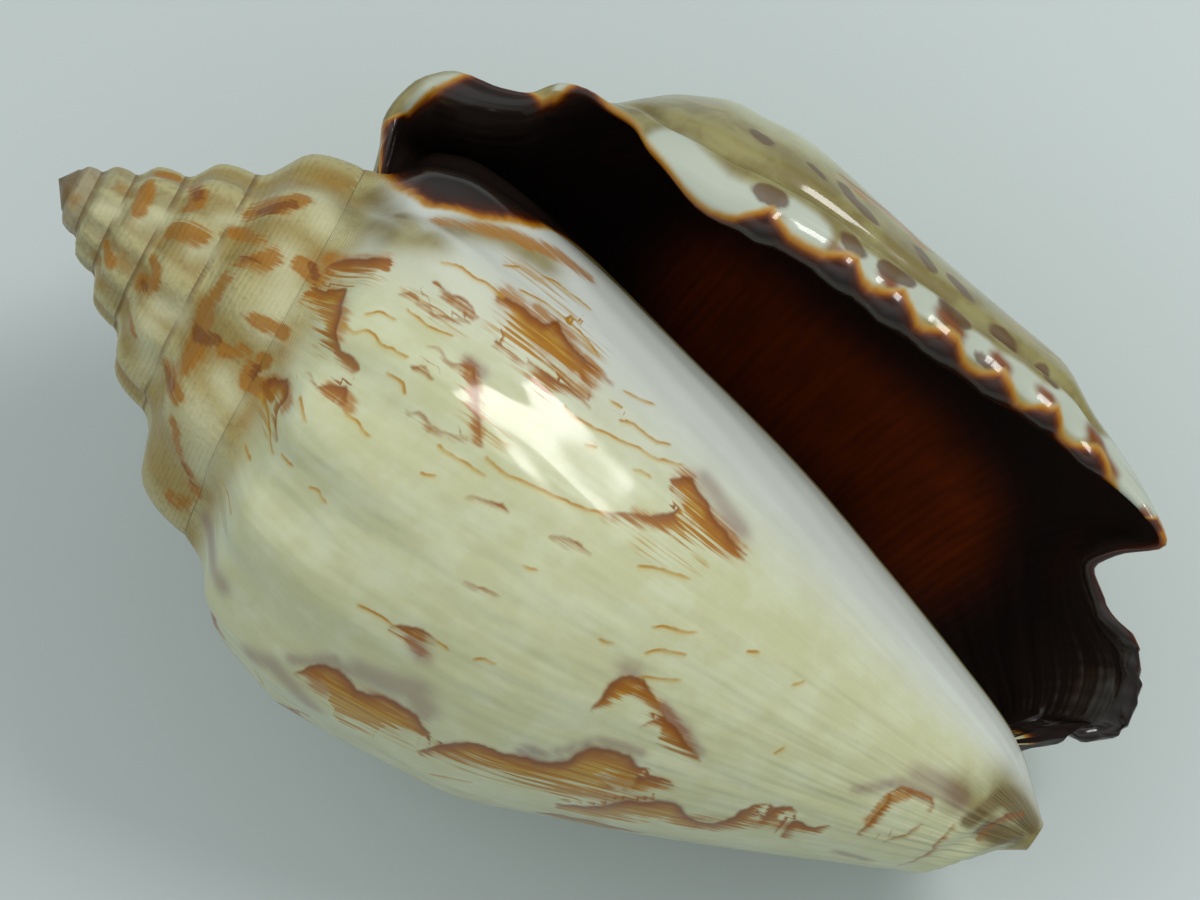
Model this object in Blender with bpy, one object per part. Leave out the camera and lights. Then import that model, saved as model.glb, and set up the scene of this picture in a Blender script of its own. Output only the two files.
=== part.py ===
"""Strombus pipus, the butterfly conch: one hollow shell, lying on its back with the aperture up.

The shell is grown the way the animal grew it. A profile line, from the suture at the top of the
whorl to the front end of the shell, is swept round the shell's axis and enlarged at a steady rate.
Time is counted in turns: 0 is the finished lip, and -1 is one turn earlier. A place on the profile
is a share of it, 0 at the suture and 1 at the front end. While it grows, the shell has its own
frame in millimetres: X along the axis from the apex to the front end, Y towards the lip, Z out of
the aperture. The finished shell is turned onto its resting spot and put in metres.
"""
import functools
import math

import bmesh
import bpy
import numpy as np
from mathutils import Matrix, Vector

MM = 0.001
COLOUR = (0.80, 0.74, 0.60, 1.0)
ROUGHNESS = 0.35

# Driving dimensions in millimetres, angles in degrees, times in turns
SHELL_END_X = 60.3            # the front tip of the columella, measured from the apex
TIP_RADIUS = 0.8
LIP_AZIMUTH = 15.0            # where the lip meets the spire, from Y towards Z
WHORL_GROWTH = 1.55           # how much larger the spire gets in one turn
SUTURE_X_NOW = 19.78          # where the suture would be at the lip if it did not climb
SUTURE_CLIMB = 6.4            # how far the last part of the suture climbs the spire
CLIMB_START = -0.45
SUTURE_SLOPE = 0.71           # radius over distance from the apex, along the early sutures
EARLY_TURN = -6.25            # the first turn that is grown; the rest is the blunt apex
APEX_SQUAT = 0.9              # how much the tip of the spire is pressed in
APEX_X = -0.1
WELD = 0.003
CLEARANCE = 0.4
CANAL_END_X = 57.2            # where the lip's front end meets the columella
CAVITY_TURNS = 0.78           # how far back the last whorl is hollow
LIP_START = -0.32             # from here on the whorl swells towards the lip's own outline
WALL = 1.3                    # the wall away from the lip
REST_DOWN = (0.205, -0.195, -0.960)   # the way down when the shell rests on its back
FLAT_DEPTH = 0.35             # how much is worn off the back where the shell rests

STEPS = 44                    # even growth steps in one turn
LIP_STEPS = (0.965, 0.985)    # extra steps where the lip curls, as shares of a turn
BAND_ROWS = 5
RIM_ROWS = 3
PARIETAL_ROWS = 18
TIP_ROWS = 2
ROW_SPREAD = ((0, 0), (0.18, 0.18), (0.34, 0.31), (0.58, 0.75), (1, 1))   # closest at the notch


def blend(start, end, x):
    """Rise smoothly from 0 at start to 1 at end."""
    f = np.clip((x - start) / (end - start), 0.0, 1.0)
    return f * f * (3.0 - 2.0 * f)


def smooth_curve(knots, x):
    """Read a smooth curve through (x, value) knots that never overshoots between them."""
    kx = np.array([k[0] for k in knots], float)
    ky = np.array([k[1] for k in knots], float)
    step = np.diff(kx)
    slope = np.diff(ky) / step
    inner = np.zeros(len(kx))
    inner[0] = slope[0]
    inner[-1] = slope[-1]
    same = slope[:-1] * slope[1:] > 0.0
    harmonic = 2.0 * slope[:-1] * slope[1:] / np.where(same, slope[:-1] + slope[1:], 1.0)
    inner[1:-1] = np.where(same, harmonic, 0.0)
    x = np.clip(np.asarray(x, float), kx[0], kx[-1])
    i = np.clip(np.searchsorted(kx, x) - 1, 0, len(step) - 1)
    f = (x - kx[i]) / step[i]
    return ((1 + 2 * f) * (1 - f) ** 2 * ky[i] + f * (1 - f) ** 2 * step[i] * inner[i]
            + f * f * (3 - 2 * f) * ky[i + 1] + f * f * (f - 1) * step[i] * inner[i + 1])


def azimuth(t):
    return math.radians(LIP_AZIMUTH) + 2.0 * math.pi * t


def whorl_size(t):
    return SUTURE_X_NOW * WHORL_GROWTH ** t


def suture_x(t):
    """Where the whorl's top edge lies along the axis."""
    climb = SUTURE_CLIMB * blend(CLIMB_START, 0.0, t)
    squat = APEX_SQUAT * (1.0 - blend(EARLY_TURN, -2.5, t))
    return whorl_size(t) - climb - squat


def front_x(t):
    """Where the whorl's front edge lies on the columella."""
    return SHELL_END_X + (CANAL_END_X - SHELL_END_X) * blend(-1.0, 0.0, t)


# Radii of the last two whorls at stations along the axis, at four times
STATION_TURNS = (-2.0, -1.04, -0.54, -0.30, 0.0)
STATIONS = (
    (33.0, (5.2, 10.3, 15.2, 16.6, 18.0)),
    (40.0, (4.7, 8.9, 12.7, 14.0, 15.5)),
    (46.5, (4.0, 7.1, 9.8, 11.0, 12.2)),
    (52.0, (3.4, 5.4, 7.1, 8.1, 9.2)),
    (56.5, (2.6, 3.75, 4.6, 5.3, 6.0)),
)

# Knobs on the shoulder: the turn of each knob from the early spire to the lip
KNOB_TURNS = (-2.00, -1.90, -1.80, -1.69, -1.555, -1.43, -1.32, -1.22, -1.13, -1.05, -0.97,
              -0.89, -0.82, -0.755, -0.68, -0.60, -0.51, -0.42, -0.32, -0.21)
RIBS_PER_TURN = 13.0


def knob_wave(t):
    """Rise to 1 on each knob and fall to 0 between knobs."""
    phase = np.interp(t, KNOB_TURNS, range(len(KNOB_TURNS)))
    phase += min(t - KNOB_TURNS[0], 0.0) * RIBS_PER_TURN
    return math.cos(math.pi * phase) ** 2


def knob_height(t):
    return smooth_curve([(-6, 0.03), (-2.2, 0.075), (-1.5, 0.105), (-1.0, 0.06), (-0.6, 0.05),
                         (-0.2, 0.035), (0, 0.0)], t)


def knob_reach(t):
    """How far down the whorl the knobs run out in folds."""
    return 1.6 + (0.8 - 1.6) * blend(-1.3, -0.9, t)


@functools.lru_cache(maxsize=None)
def suture_radius(t):
    """The suture lies on the whorl before."""
    if t <= EARLY_TURN + 1.0:
        return SUTURE_SLOPE * whorl_size(t)
    return float(radius(t - 1.0, suture_x(t)))


def radius(t, x):
    """Distance from the axis of the whorl grown at time t, at places x along the axis."""
    scale = whorl_size(t)
    top = suture_x(t)
    shoulder = smooth_curve([(-6, 1.06), (-1.5, 1.07), (-1.0, 0.985), (-0.5, 0.98), (0, 0.96)], t)
    start = suture_radius(t)
    knots = [(top, start),
             (top + 0.07 * scale, start + 0.035 * scale),
             (top + 0.22 * scale, (0.18 * SUTURE_SLOPE + 0.82 * shoulder) * scale * 0.985),
             (top + 0.40 * scale, shoulder * scale),
             (top + 0.55 * scale, smooth_curve([(-2, 1.10), (-1.5, 1.09), (-1.0, 0.99),
                                                (-0.5, 1.02), (0, 1.0)], t) * scale)]
    if t > -2.5:
        knots += [(station, smooth_curve(list(zip(STATION_TURNS, radii)), t))
                  for station, radii in STATIONS]
        if t <= -1.0:
            knots.append((SHELL_END_X, TIP_RADIUS))
        else:
            end = front_x(t)
            knots.append((end, float(radius(t - 1.0, end))))
    x = np.asarray(x, float)
    rise = (x - top) / scale
    fold = blend(0.02, 0.2, rise) * (1.0 - blend(0.25, 0.25 + knob_reach(t), rise))
    lump = knob_height(t) * scale * (knob_wave(t) - 0.4) * fold
    lump = lump * (1.0 - blend(SHELL_END_X - 25.0, SHELL_END_X - 12.0, x))
    return smooth_curve(knots, x) + lump


def place(t, x, r):
    """Points of the whorl at time t."""
    a = azimuth(t)
    x = np.asarray(x, float)
    return np.stack([x, r * math.cos(a), r * math.sin(a)], axis=-1)


# The lip's edge, from the suture round the flared rear, down the inrolled side, round the notch
# and the front lobe to the canal: share of the profile, X, Y, Z, and the pull that shapes the curl
NOTCH = (0.795, 0.91)
NOTCH_TURN = -0.15            # the notch is cut into the last part of the lip only
LIP_EDGE = (
    (0.000, 13.4, 9.3, 2.5, 0, 8, 2),
    (0.045, 12.1, 12.1, 1.6, -6, 8, 2),
    (0.100, 13.3, 14.9, 1.5, -5, 12, 3),
    (0.135, 15.8, 15.7, 2.0, -3, 12, 4),
    (0.165, 17.6, 16.7, 2.0, -2, 12, 4),
    (0.195, 18.5, 18.0, 2.0, -2, 12, 5),
    (0.225, 20.5, 18.9, 3.4, -1, 4, 10),
    (0.260, 22.6, 18.8, 6.2, 0, -10, 12),
    (0.295, 24.4, 18.2, 8.6, 0, -20, 12),
    (0.350, 27.6, 18.0, 9.8, 0, -27, 10),
    (0.400, 30.8, 18.6, 9.8, 0, -26, 10),
    (0.460, 34.9, 19.0, 9.3, 0, -22, 10),
    (0.525, 39.3, 18.9, 8.6, 0, -20, 10),
    (0.615, 45.5, 18.8, 7.2, 1, -19, 10),
    (0.660, 48.5, 18.7, 6.4, 2, -19, 9),
    (0.705, 51.4, 18.0, 5.6, 3, -15, 8),
    (0.745, 53.6, 17.6, 5.0, 4, -12, 8),
    (0.780, 55.8, 17.0, 4.6, 5, -8, 8),
    (0.810, 57.2, 16.1, 4.2, 5, -4, 8),
    (0.835, 55.6, 14.7, 3.0, 3, 0, 8),
    (0.855, 54.8, 13.4, 1.8, 2, 2, 8),
    (0.875, 55.7, 12.4, 1.0, 3, 3, 7),
    (0.900, 57.9, 11.3, 0.4, 5, 4, 6),
    (0.920, 59.8, 10.4, -0.4, 8, 4, 4),
    (0.940, 60.6, 8.9, -1.2, 9, 3, 2),
    (0.957, 60.8, 7.2, -2.0, 9, 2, 1),
    (0.972, 59.8, 6.0, -2.4, 8, 2, 1),
    (0.986, 58.3, 4.8, -1.9, 5, 2, 1),
    (1.000, 57.2, 3.3, 0.9, 2, 2, 1),
)


def lip_edge(s, notched=True):
    """The lip's edge at shares s of the profile, and the pull there, both as x, r and azimuth."""
    table = [row for row in LIP_EDGE if notched or not NOTCH[0] < row[0] < NOTCH[1]]
    shares, *measures = zip(*table)
    columns = [smooth_curve(list(zip(shares, measure)), s) for measure in measures]
    x, y, z, pull_x, pull_y, pull_z = columns
    r = np.hypot(y, z)
    edge = np.stack([x, r, np.arctan2(z, y)], axis=-1)
    pull = np.stack([pull_x, (y * pull_y + z * pull_z) / r, (y * pull_z - z * pull_y) / r ** 2],
                    axis=-1)
    return edge, pull


def profile_x(t, s):
    """Spread the shares s over the profile, closer together near the suture."""
    top = suture_x(t)
    return top + (front_x(t) - top) * np.asarray(s, float) ** 1.3


def spiral(t, s):
    """The even growth line at time t, as x, r and azimuth."""
    x = profile_x(t, s)
    return np.stack([x, radius(t, x), np.full_like(x, azimuth(t))], axis=-1)


def swell(t, s, notched):
    """Between the last even growth line and the lip's edge, a smooth run from one to the other."""
    nudge = 0.002
    start = spiral(LIP_START, s)
    speed = (start - spiral(LIP_START - nudge, s)) / nudge * -LIP_START
    edge, pull = lip_edge(s, notched=False)
    notch = (lip_edge(s)[0] - edge) * blend(NOTCH_TURN, 0.0, t) if notched else 0.0
    f = (t - LIP_START) / -LIP_START
    return ((1 + 2 * f) * (1 - f) ** 2 * start + f * (1 - f) ** 2 * speed
            + f * f * (3 - 2 * f) * edge + f * f * (f - 1) * pull + notch)


def growth_line(t, s, notched):
    """The last whorl's outer face at time t and shares s of the profile, as x, r and azimuth."""
    if t <= LIP_START:
        return spiral(t, s)
    ends = np.array([suture_x(t), front_x(t)])
    seat = np.stack([ends, radius(t - 1.0, ends), np.full(2, azimuth(t))], axis=-1)
    off = seat - swell(t, np.array([0.0, 1.0]), notched)
    rear = (1.0 - blend(0.0, 0.12, s))[:, None]
    front = blend(0.955, 1.0, s)[:, None]
    return swell(t, s, notched) + rear * off[0] + front * off[1]


def sheet(t, s, notched=True):
    """Points of the last whorl's outer face at time t and shares s of the profile."""
    x, r, a = growth_line(t, np.asarray(s, float), notched).T
    return np.stack([x, r * np.cos(a), r * np.sin(a)], axis=-1)


def normals(t, s):
    """Outward unit normals of the sheet, as it would run without the notch."""
    reach = 0.012
    nudge = 0.002
    t = min(t, -nudge)
    along = (sheet(t, np.minimum(s + reach, 1.0), False)
             - sheet(t, np.maximum(s - reach, 0.0), False))
    onward = sheet(t + nudge, s, False) - sheet(t - nudge, s, False)
    out = np.cross(onward, along)
    return out / np.linalg.norm(out, axis=1)[:, None]


def thickness(t, s):
    """The wall's thickness: stout along the inrolled side of the lip, thin at its ends."""
    lip = blend(-0.16, -0.02, t)
    stout = smooth_curve(((0, 0), (0.30, 0), (0.38, 1), (0.60, 0.9), (0.74, 0), (1, 0)), s)
    fine = smooth_curve(((0, 0.3), (0.10, 0.35), (0.25, 0.62), (0.34, 0.1), (0.68, 0), (0.80, 0.66),
                         (0.90, 0.45), (1, 0.5)), s)
    front = 0.35 * blend(0.80, 0.95, s)
    return WALL * (1.0 - front - (fine - front * 0.5) * lip + 0.9 * stout * lip)


# How far from the suture and from the front end the hollow stays, in shares at each time
HOLLOW_START = ((-1.0, 0.085), (-0.40, 0.088), (-0.24, 0.10), (-0.16, 0.135), (-0.11, 0.105),
                (-0.06, 0.05), (0.0, 0.03))
HOLLOW_END = ((-1.0, 0.045), (-0.25, 0.045), (-0.12, 0.028), (0.0, 0.012))


def hollow_shares(t, shares):
    """Draw shares of the whole profile in at both ends, to where the whorl is hollow behind it."""
    rear = smooth_curve(HOLLOW_START, t) * (1.0 - blend(0.0, 0.3, shares))
    front = smooth_curve(HOLLOW_END, t) * blend(0.7, 1.0, shares)
    return shares + rear - front


def rows(count):
    return np.linspace(0.0, 1.0, count + 1)


def inner_face(t, count):
    """The hollow's outer wall at time t, with its ends seated on the whorl before."""
    share = hollow_shares(t, spread_rows(count))
    outer = sheet(t, share)
    inner = outer - normals(t, share) * thickness(t, share)[:, None]
    reach = np.hypot(inner[:, 1], inner[:, 2])
    least = radius(t - 1.0, inner[:, 0]) + CLEARANCE
    grow = np.maximum(least / reach, 1.0)
    inner[:, 1:] *= grow[:, None]
    seat = profile_x(t, share[[0, -1]])
    inner[[0, -1]] = place(t, seat, radius(t - 1.0, seat))
    return inner


def spread_rows(count):
    shares, places = zip(*ROW_SPREAD)
    return np.interp(rows(count), shares, places)


def turn_steps(first, last):
    """The growth times from first to last, the same in every turn."""
    shares = sorted(set(np.linspace(0.0, 1.0, STEPS, endpoint=False)) | set(LIP_STEPS))
    whole = range(math.floor(first) - 1, math.ceil(last) + 1)
    times = [turn + share for turn in whole for share in shares]
    return [t for t in times if first - 1e-6 <= t <= last + 1e-6]


def band_column(t):
    """The part of an early whorl that the next whorl leaves bare."""
    x = suture_x(t) + (suture_x(t + 1.0) - suture_x(t)) * rows(BAND_ROWS)
    return place(t, x, radius(t, x))


def parietal_x(t):
    """The part of the whorl before that faces the hollow."""
    seat = profile_x(t + 1.0, hollow_shares(t + 1.0, np.array([0.0, 1.0])))
    return seat[0] + (seat[1] - seat[0]) * rows(PARIETAL_ROWS)


def tip_x(t):
    return front_x(t + 1.0) + (SHELL_END_X - front_x(t + 1.0)) * rows(TIP_ROWS)


def first_body_x():
    """The body whorl starts on the growth line that runs under the lip."""
    face = parietal_x(-1.0)
    seam = [suture_x(-1.0) + (suture_x(0.0) - suture_x(-1.0)) * rows(BAND_ROWS),
            suture_x(0.0) + (face[0] - suture_x(0.0)) * rows(RIM_ROWS),
            face,
            face[-1] + (front_x(0.0) - face[-1]) * rows(RIM_ROWS),
            tip_x(-1.0)]
    return np.concatenate([seam[0]] + [part[1:] for part in seam[1:]])


def body_columns():
    first = first_body_x()
    top = suture_x(-1.0)
    first_share = ((first - top) / (front_x(-1.0) - top)) ** (1 / 1.3)
    even = spread_rows(len(first) - 1)
    columns = []
    for t in turn_steps(-1.0, 0.0):
        ease = blend(-1.0, -0.7, t)
        columns.append(sheet(t, first_share + (even - first_share) * ease))
    return columns


def rim_columns(outer, inner):
    """Round the lip's edge over from its outer face to its inner face."""
    middle = (outer + inner) / 2.0
    out = (outer - inner) / 2.0
    ahead = np.cross(np.gradient(middle, axis=0), out)
    ahead *= (np.linalg.norm(out, axis=1) / np.linalg.norm(ahead, axis=1))[:, None]
    columns = []
    seats = [(suture_x(0.0), parietal_x(-1.0)[0]), (front_x(0.0), parietal_x(-1.0)[-1])]
    for step in rows(RIM_ROWS):
        turn = math.pi * (0.5 - step)
        column = middle + out * math.sin(turn) + ahead * math.cos(turn)
        for row, (start, end) in zip((0, -1), seats):
            x = start + (end - start) * step
            column[row] = place(-1.0, x, radius(-1.0, x))
        columns.append(column)
    return columns


def grow(bm, columns):
    """Extrude a profile line from column to column."""
    line = [bm.verts.new(point) for point in columns[0]]
    edges = [bm.edges.new(pair) for pair in zip(line, line[1:])]
    for column in columns[1:]:
        moved = bmesh.ops.extrude_edge_only(bm, edges=edges)["geom"]
        edges = [item for item in moved if isinstance(item, bmesh.types.BMEdge)]
        fresh = {item for item in moved if isinstance(item, bmesh.types.BMVert)}
        line = [next(edge.other_vert(vert) for edge in vert.link_edges
                     if edge.other_vert(vert) in fresh) for vert in line]
        for vert, point in zip(line, column):
            vert.co = point


def close_holes(bm):
    """Fill the rings at the front tip and at the end of the hollow, and round off the apex."""
    edges = [edge for edge in bm.edges if edge.is_boundary]
    caps = bmesh.ops.holes_fill(bm, edges=edges, sides=0)["faces"]
    apex = min(caps, key=lambda face: face.calc_center_median().x)
    centre = bmesh.ops.poke(bm, faces=[apex])["verts"][0]
    centre.co = (APEX_X, 0.0, 0.0)


def lay_down(bm):
    """Turn the shell onto its back and plane a small flat where it touches the ground."""
    down = Vector(REST_DOWN).normalized()
    ahead = (Vector((1.0, 0.0, 0.0)) - down * down.x).normalized()
    turn = Matrix((ahead, ahead.cross(down), -down))
    bmesh.ops.rotate(bm, cent=(0.0, 0.0, 0.0), matrix=turn, verts=bm.verts)
    level = min(vert.co.z for vert in bm.verts) + FLAT_DEPTH
    cut = bmesh.ops.bisect_plane(bm, geom=bm.verts[:] + bm.edges[:] + bm.faces[:], dist=0.01,
                                 plane_co=(0.0, 0.0, level), plane_no=(0.0, 0.0, 1.0),
                                 clear_inner=True)["geom_cut"]
    for item in cut:
        if isinstance(item, bmesh.types.BMVert):
            item.co.z = level
    bmesh.ops.contextual_create(bm, geom=[e for e in bm.edges if e.is_boundary])


def centre(bm):
    """Put the origin under the middle of the shell's bounding box."""
    places = np.array([vert.co for vert in bm.verts])
    low = places.min(axis=0)
    high = places.max(axis=0)
    middle = (low + high) / 2.0
    bmesh.ops.translate(bm, vec=(-middle[0], -middle[1], -low[2]), verts=bm.verts)


def build_shell():
    bm = bmesh.new()
    bands = [band_column(t) for t in turn_steps(EARLY_TURN, -1.0)]
    bands[0] = np.linspace(bands[0][0], bands[0][-1], BAND_ROWS + 1)
    grow(bm, bands)
    body = body_columns()
    grow(bm, body)
    grow(bm, [place(t, parietal_x(t), radius(t, parietal_x(t)))
              for t in turn_steps(-1.0 - CAVITY_TURNS, -1.0)])
    grow(bm, [place(t, tip_x(t), radius(t, tip_x(t))) for t in turn_steps(-2.0, -1.0)])
    inner = [inner_face(t, len(body[-1]) - 1) for t in turn_steps(-CAVITY_TURNS, 0.0)]
    grow(bm, inner)
    grow(bm, rim_columns(body[-1], inner[-1]))
    bmesh.ops.remove_doubles(bm, verts=bm.verts, dist=WELD)
    close_holes(bm)
    bmesh.ops.triangulate(bm, faces=bm.faces)
    lay_down(bm)
    centre(bm)
    bmesh.ops.triangulate(bm, faces=bm.faces)
    bmesh.ops.recalc_face_normals(bm, faces=bm.faces)
    bmesh.ops.scale(bm, vec=(MM, MM, MM), verts=bm.verts)
    mesh = bpy.data.meshes.new("shell")
    bm.to_mesh(mesh)
    bm.free()
    mesh.shade_smooth()
    return mesh


def shell_material():
    material = bpy.data.materials.new("shell")
    material.use_nodes = True
    shader = material.node_tree.nodes["Principled BSDF"]
    shader.inputs["Base Color"].default_value = COLOUR
    shader.inputs["Roughness"].default_value = ROUGHNESS
    shader.inputs["Metallic"].default_value = 0.0
    return material


def main():
    for item in list(bpy.data.objects):
        bpy.data.objects.remove(item, do_unlink=True)
    parts = bpy.data.collections.new("strombus pipus")
    bpy.context.scene.collection.children.link(parts)
    shell = bpy.data.objects.new("shell", build_shell())
    shell.data.materials.append(shell_material())
    parts.objects.link(shell)


main()
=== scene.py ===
import functools
import math
import random

import bmesh
import bpy
import numpy as np
from mathutils import Matrix, Vector
from mathutils.bvhtree import BVHTree


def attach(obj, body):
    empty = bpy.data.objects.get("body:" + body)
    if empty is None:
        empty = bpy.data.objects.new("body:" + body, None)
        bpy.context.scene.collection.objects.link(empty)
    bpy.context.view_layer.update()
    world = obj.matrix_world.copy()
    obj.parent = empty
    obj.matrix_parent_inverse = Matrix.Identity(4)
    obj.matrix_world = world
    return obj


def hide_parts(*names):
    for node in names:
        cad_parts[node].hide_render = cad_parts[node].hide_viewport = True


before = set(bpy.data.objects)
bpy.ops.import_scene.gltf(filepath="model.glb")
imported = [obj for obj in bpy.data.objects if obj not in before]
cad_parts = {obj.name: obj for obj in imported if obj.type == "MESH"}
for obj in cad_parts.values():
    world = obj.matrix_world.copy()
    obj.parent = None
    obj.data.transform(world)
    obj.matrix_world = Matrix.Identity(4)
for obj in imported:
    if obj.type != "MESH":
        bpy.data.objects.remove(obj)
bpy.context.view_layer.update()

# The shell is grown turn by turn in its own frame, in millimetres: X along the axis from the apex to
# the front end, Y towards the lip, Z out of the aperture. Time is counted in turns, 0 at the lip, and
# a share of the profile runs from 0 at the suture to 1 at the front end.
MM = 0.001
SHELL_END_X = 60.3            # the front tip of the columella, measured from the apex
TIP_RADIUS = 0.8
LIP_AZIMUTH = 15.0            # where the lip meets the spire, in degrees from Y towards Z
WHORL_GROWTH = 1.55           # how much larger the spire gets in one turn
SUTURE_X_NOW = 19.78          # where the suture would be at the lip if it did not climb
SUTURE_CLIMB = 6.4            # how far the last part of the suture climbs the spire
CLIMB_START = -0.45
SUTURE_SLOPE = 0.71           # radius over distance from the apex, along the early sutures
EARLY_TURN = -6.25            # the first turn that is grown; the rest is the blunt apex
APEX_SQUAT = 0.9              # how much the tip of the spire is pressed in
APEX_X = -0.1
WELD = 0.003                  # points closer together than this are one
FLAT_SNAP = 0.01              # points closer than this to the flat are set on it
TIME_SNAP = 1e-4              # growth times closer together than this are one
CLEARANCE = 0.4               # the least gap between the hollow's wall and the whorl before
CANAL_END_X = 57.2            # where the lip's front end meets the columella
CAVITY_TURNS = 0.78           # how far back the last whorl is hollow
LIP_START = -0.32             # from here on the whorl swells towards the lip's own outline
WALL = 1.3                    # the wall away from the lip
PROFILE_POWER = 1.3           # how much closer together the shares lie near the suture
REST_DOWN = (0.205, -0.195, -0.960)       # the way down when the shell rests on its back
REST_HEIGHT = 22.558                      # the apex above the floor
SHIFT = (-29.903, -3.574, REST_HEIGHT)    # where the apex lies in the part's frame
NUDGE = 0.002                 # a small step of growth time
FULL_TURN = 2.0 * math.pi

SEEN_STEPS = 184              # growth steps in the half turn that faces the camera
HIDDEN_STEPS = 96             # and in the half turn behind it
SEEN_FROM = 0.94              # where in each turn the facing half begins
SEEN_TO = 0.49                # and where it ends
LIP_STEPS = 16                # further steps where the lip's edge folds over
LIP_FROM = 0.955
PLAIN_TURNS = 0.12            # past this the hollow has half the rows
BAND_ROWS = 12
RIM_ROWS = 8
PARIETAL_ROWS = 96
TIP_ROWS = 8
ROW_SPREAD = ((0, 0), (0.18, 0.18), (0.34, 0.33), (0.58, 0.66), (1, 1))

# The camera, in the shell's own frame, and its frame of 1200 by 900, in which the marks are placed
PICTURE_WIDTH = 1200
PICTURE_HEIGHT = 900
PIXELS_PER_MM = 19.5
CAMERA_PLACE = (30.7, 4.0, 400.0)
CAMERA_RIGHT = (0.829, 0.559)
SENSOR = 36.0
CLIP_START = 0.01

FLOOR_SIZE = 4.0
FLOOR_COLOUR = (0.50, 0.56, 0.56, 1.0)
FLOOR_ROUGHNESS = 0.6

# The soft sky: its brightness on the far side and on the side of SKY_FROM, a direction in the
# shell's own frame, and how far it is dimmed between two heights near the point straight above
SKY_COLOUR = (0.96, 1.0, 1.0, 1.0)
SKY_FROM = (-0.403, 0.150, 0.90)
SKY_LOW = 0.30
SKY_HIGH = 1.22
DIM_FROM = 0.80
DIM_TO = 0.97
SKY_DIM = 0.30

# The window: its direction in the shell's own frame, its distance from the shell's middle and its
# size along the shell's axis and across it, in metres, and its power in watts
SHELL_MIDDLE = (0.0, 0.0, 0.015)
WINDOW_FROM = (0.22, 0.60, 0.75)
WINDOW_DISTANCE = 0.30
WINDOW_SIZE = (0.05, 0.12)
WINDOW_POWER = 0.39
WINDOW_COLOUR = (1.0, 0.99, 0.96)

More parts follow.
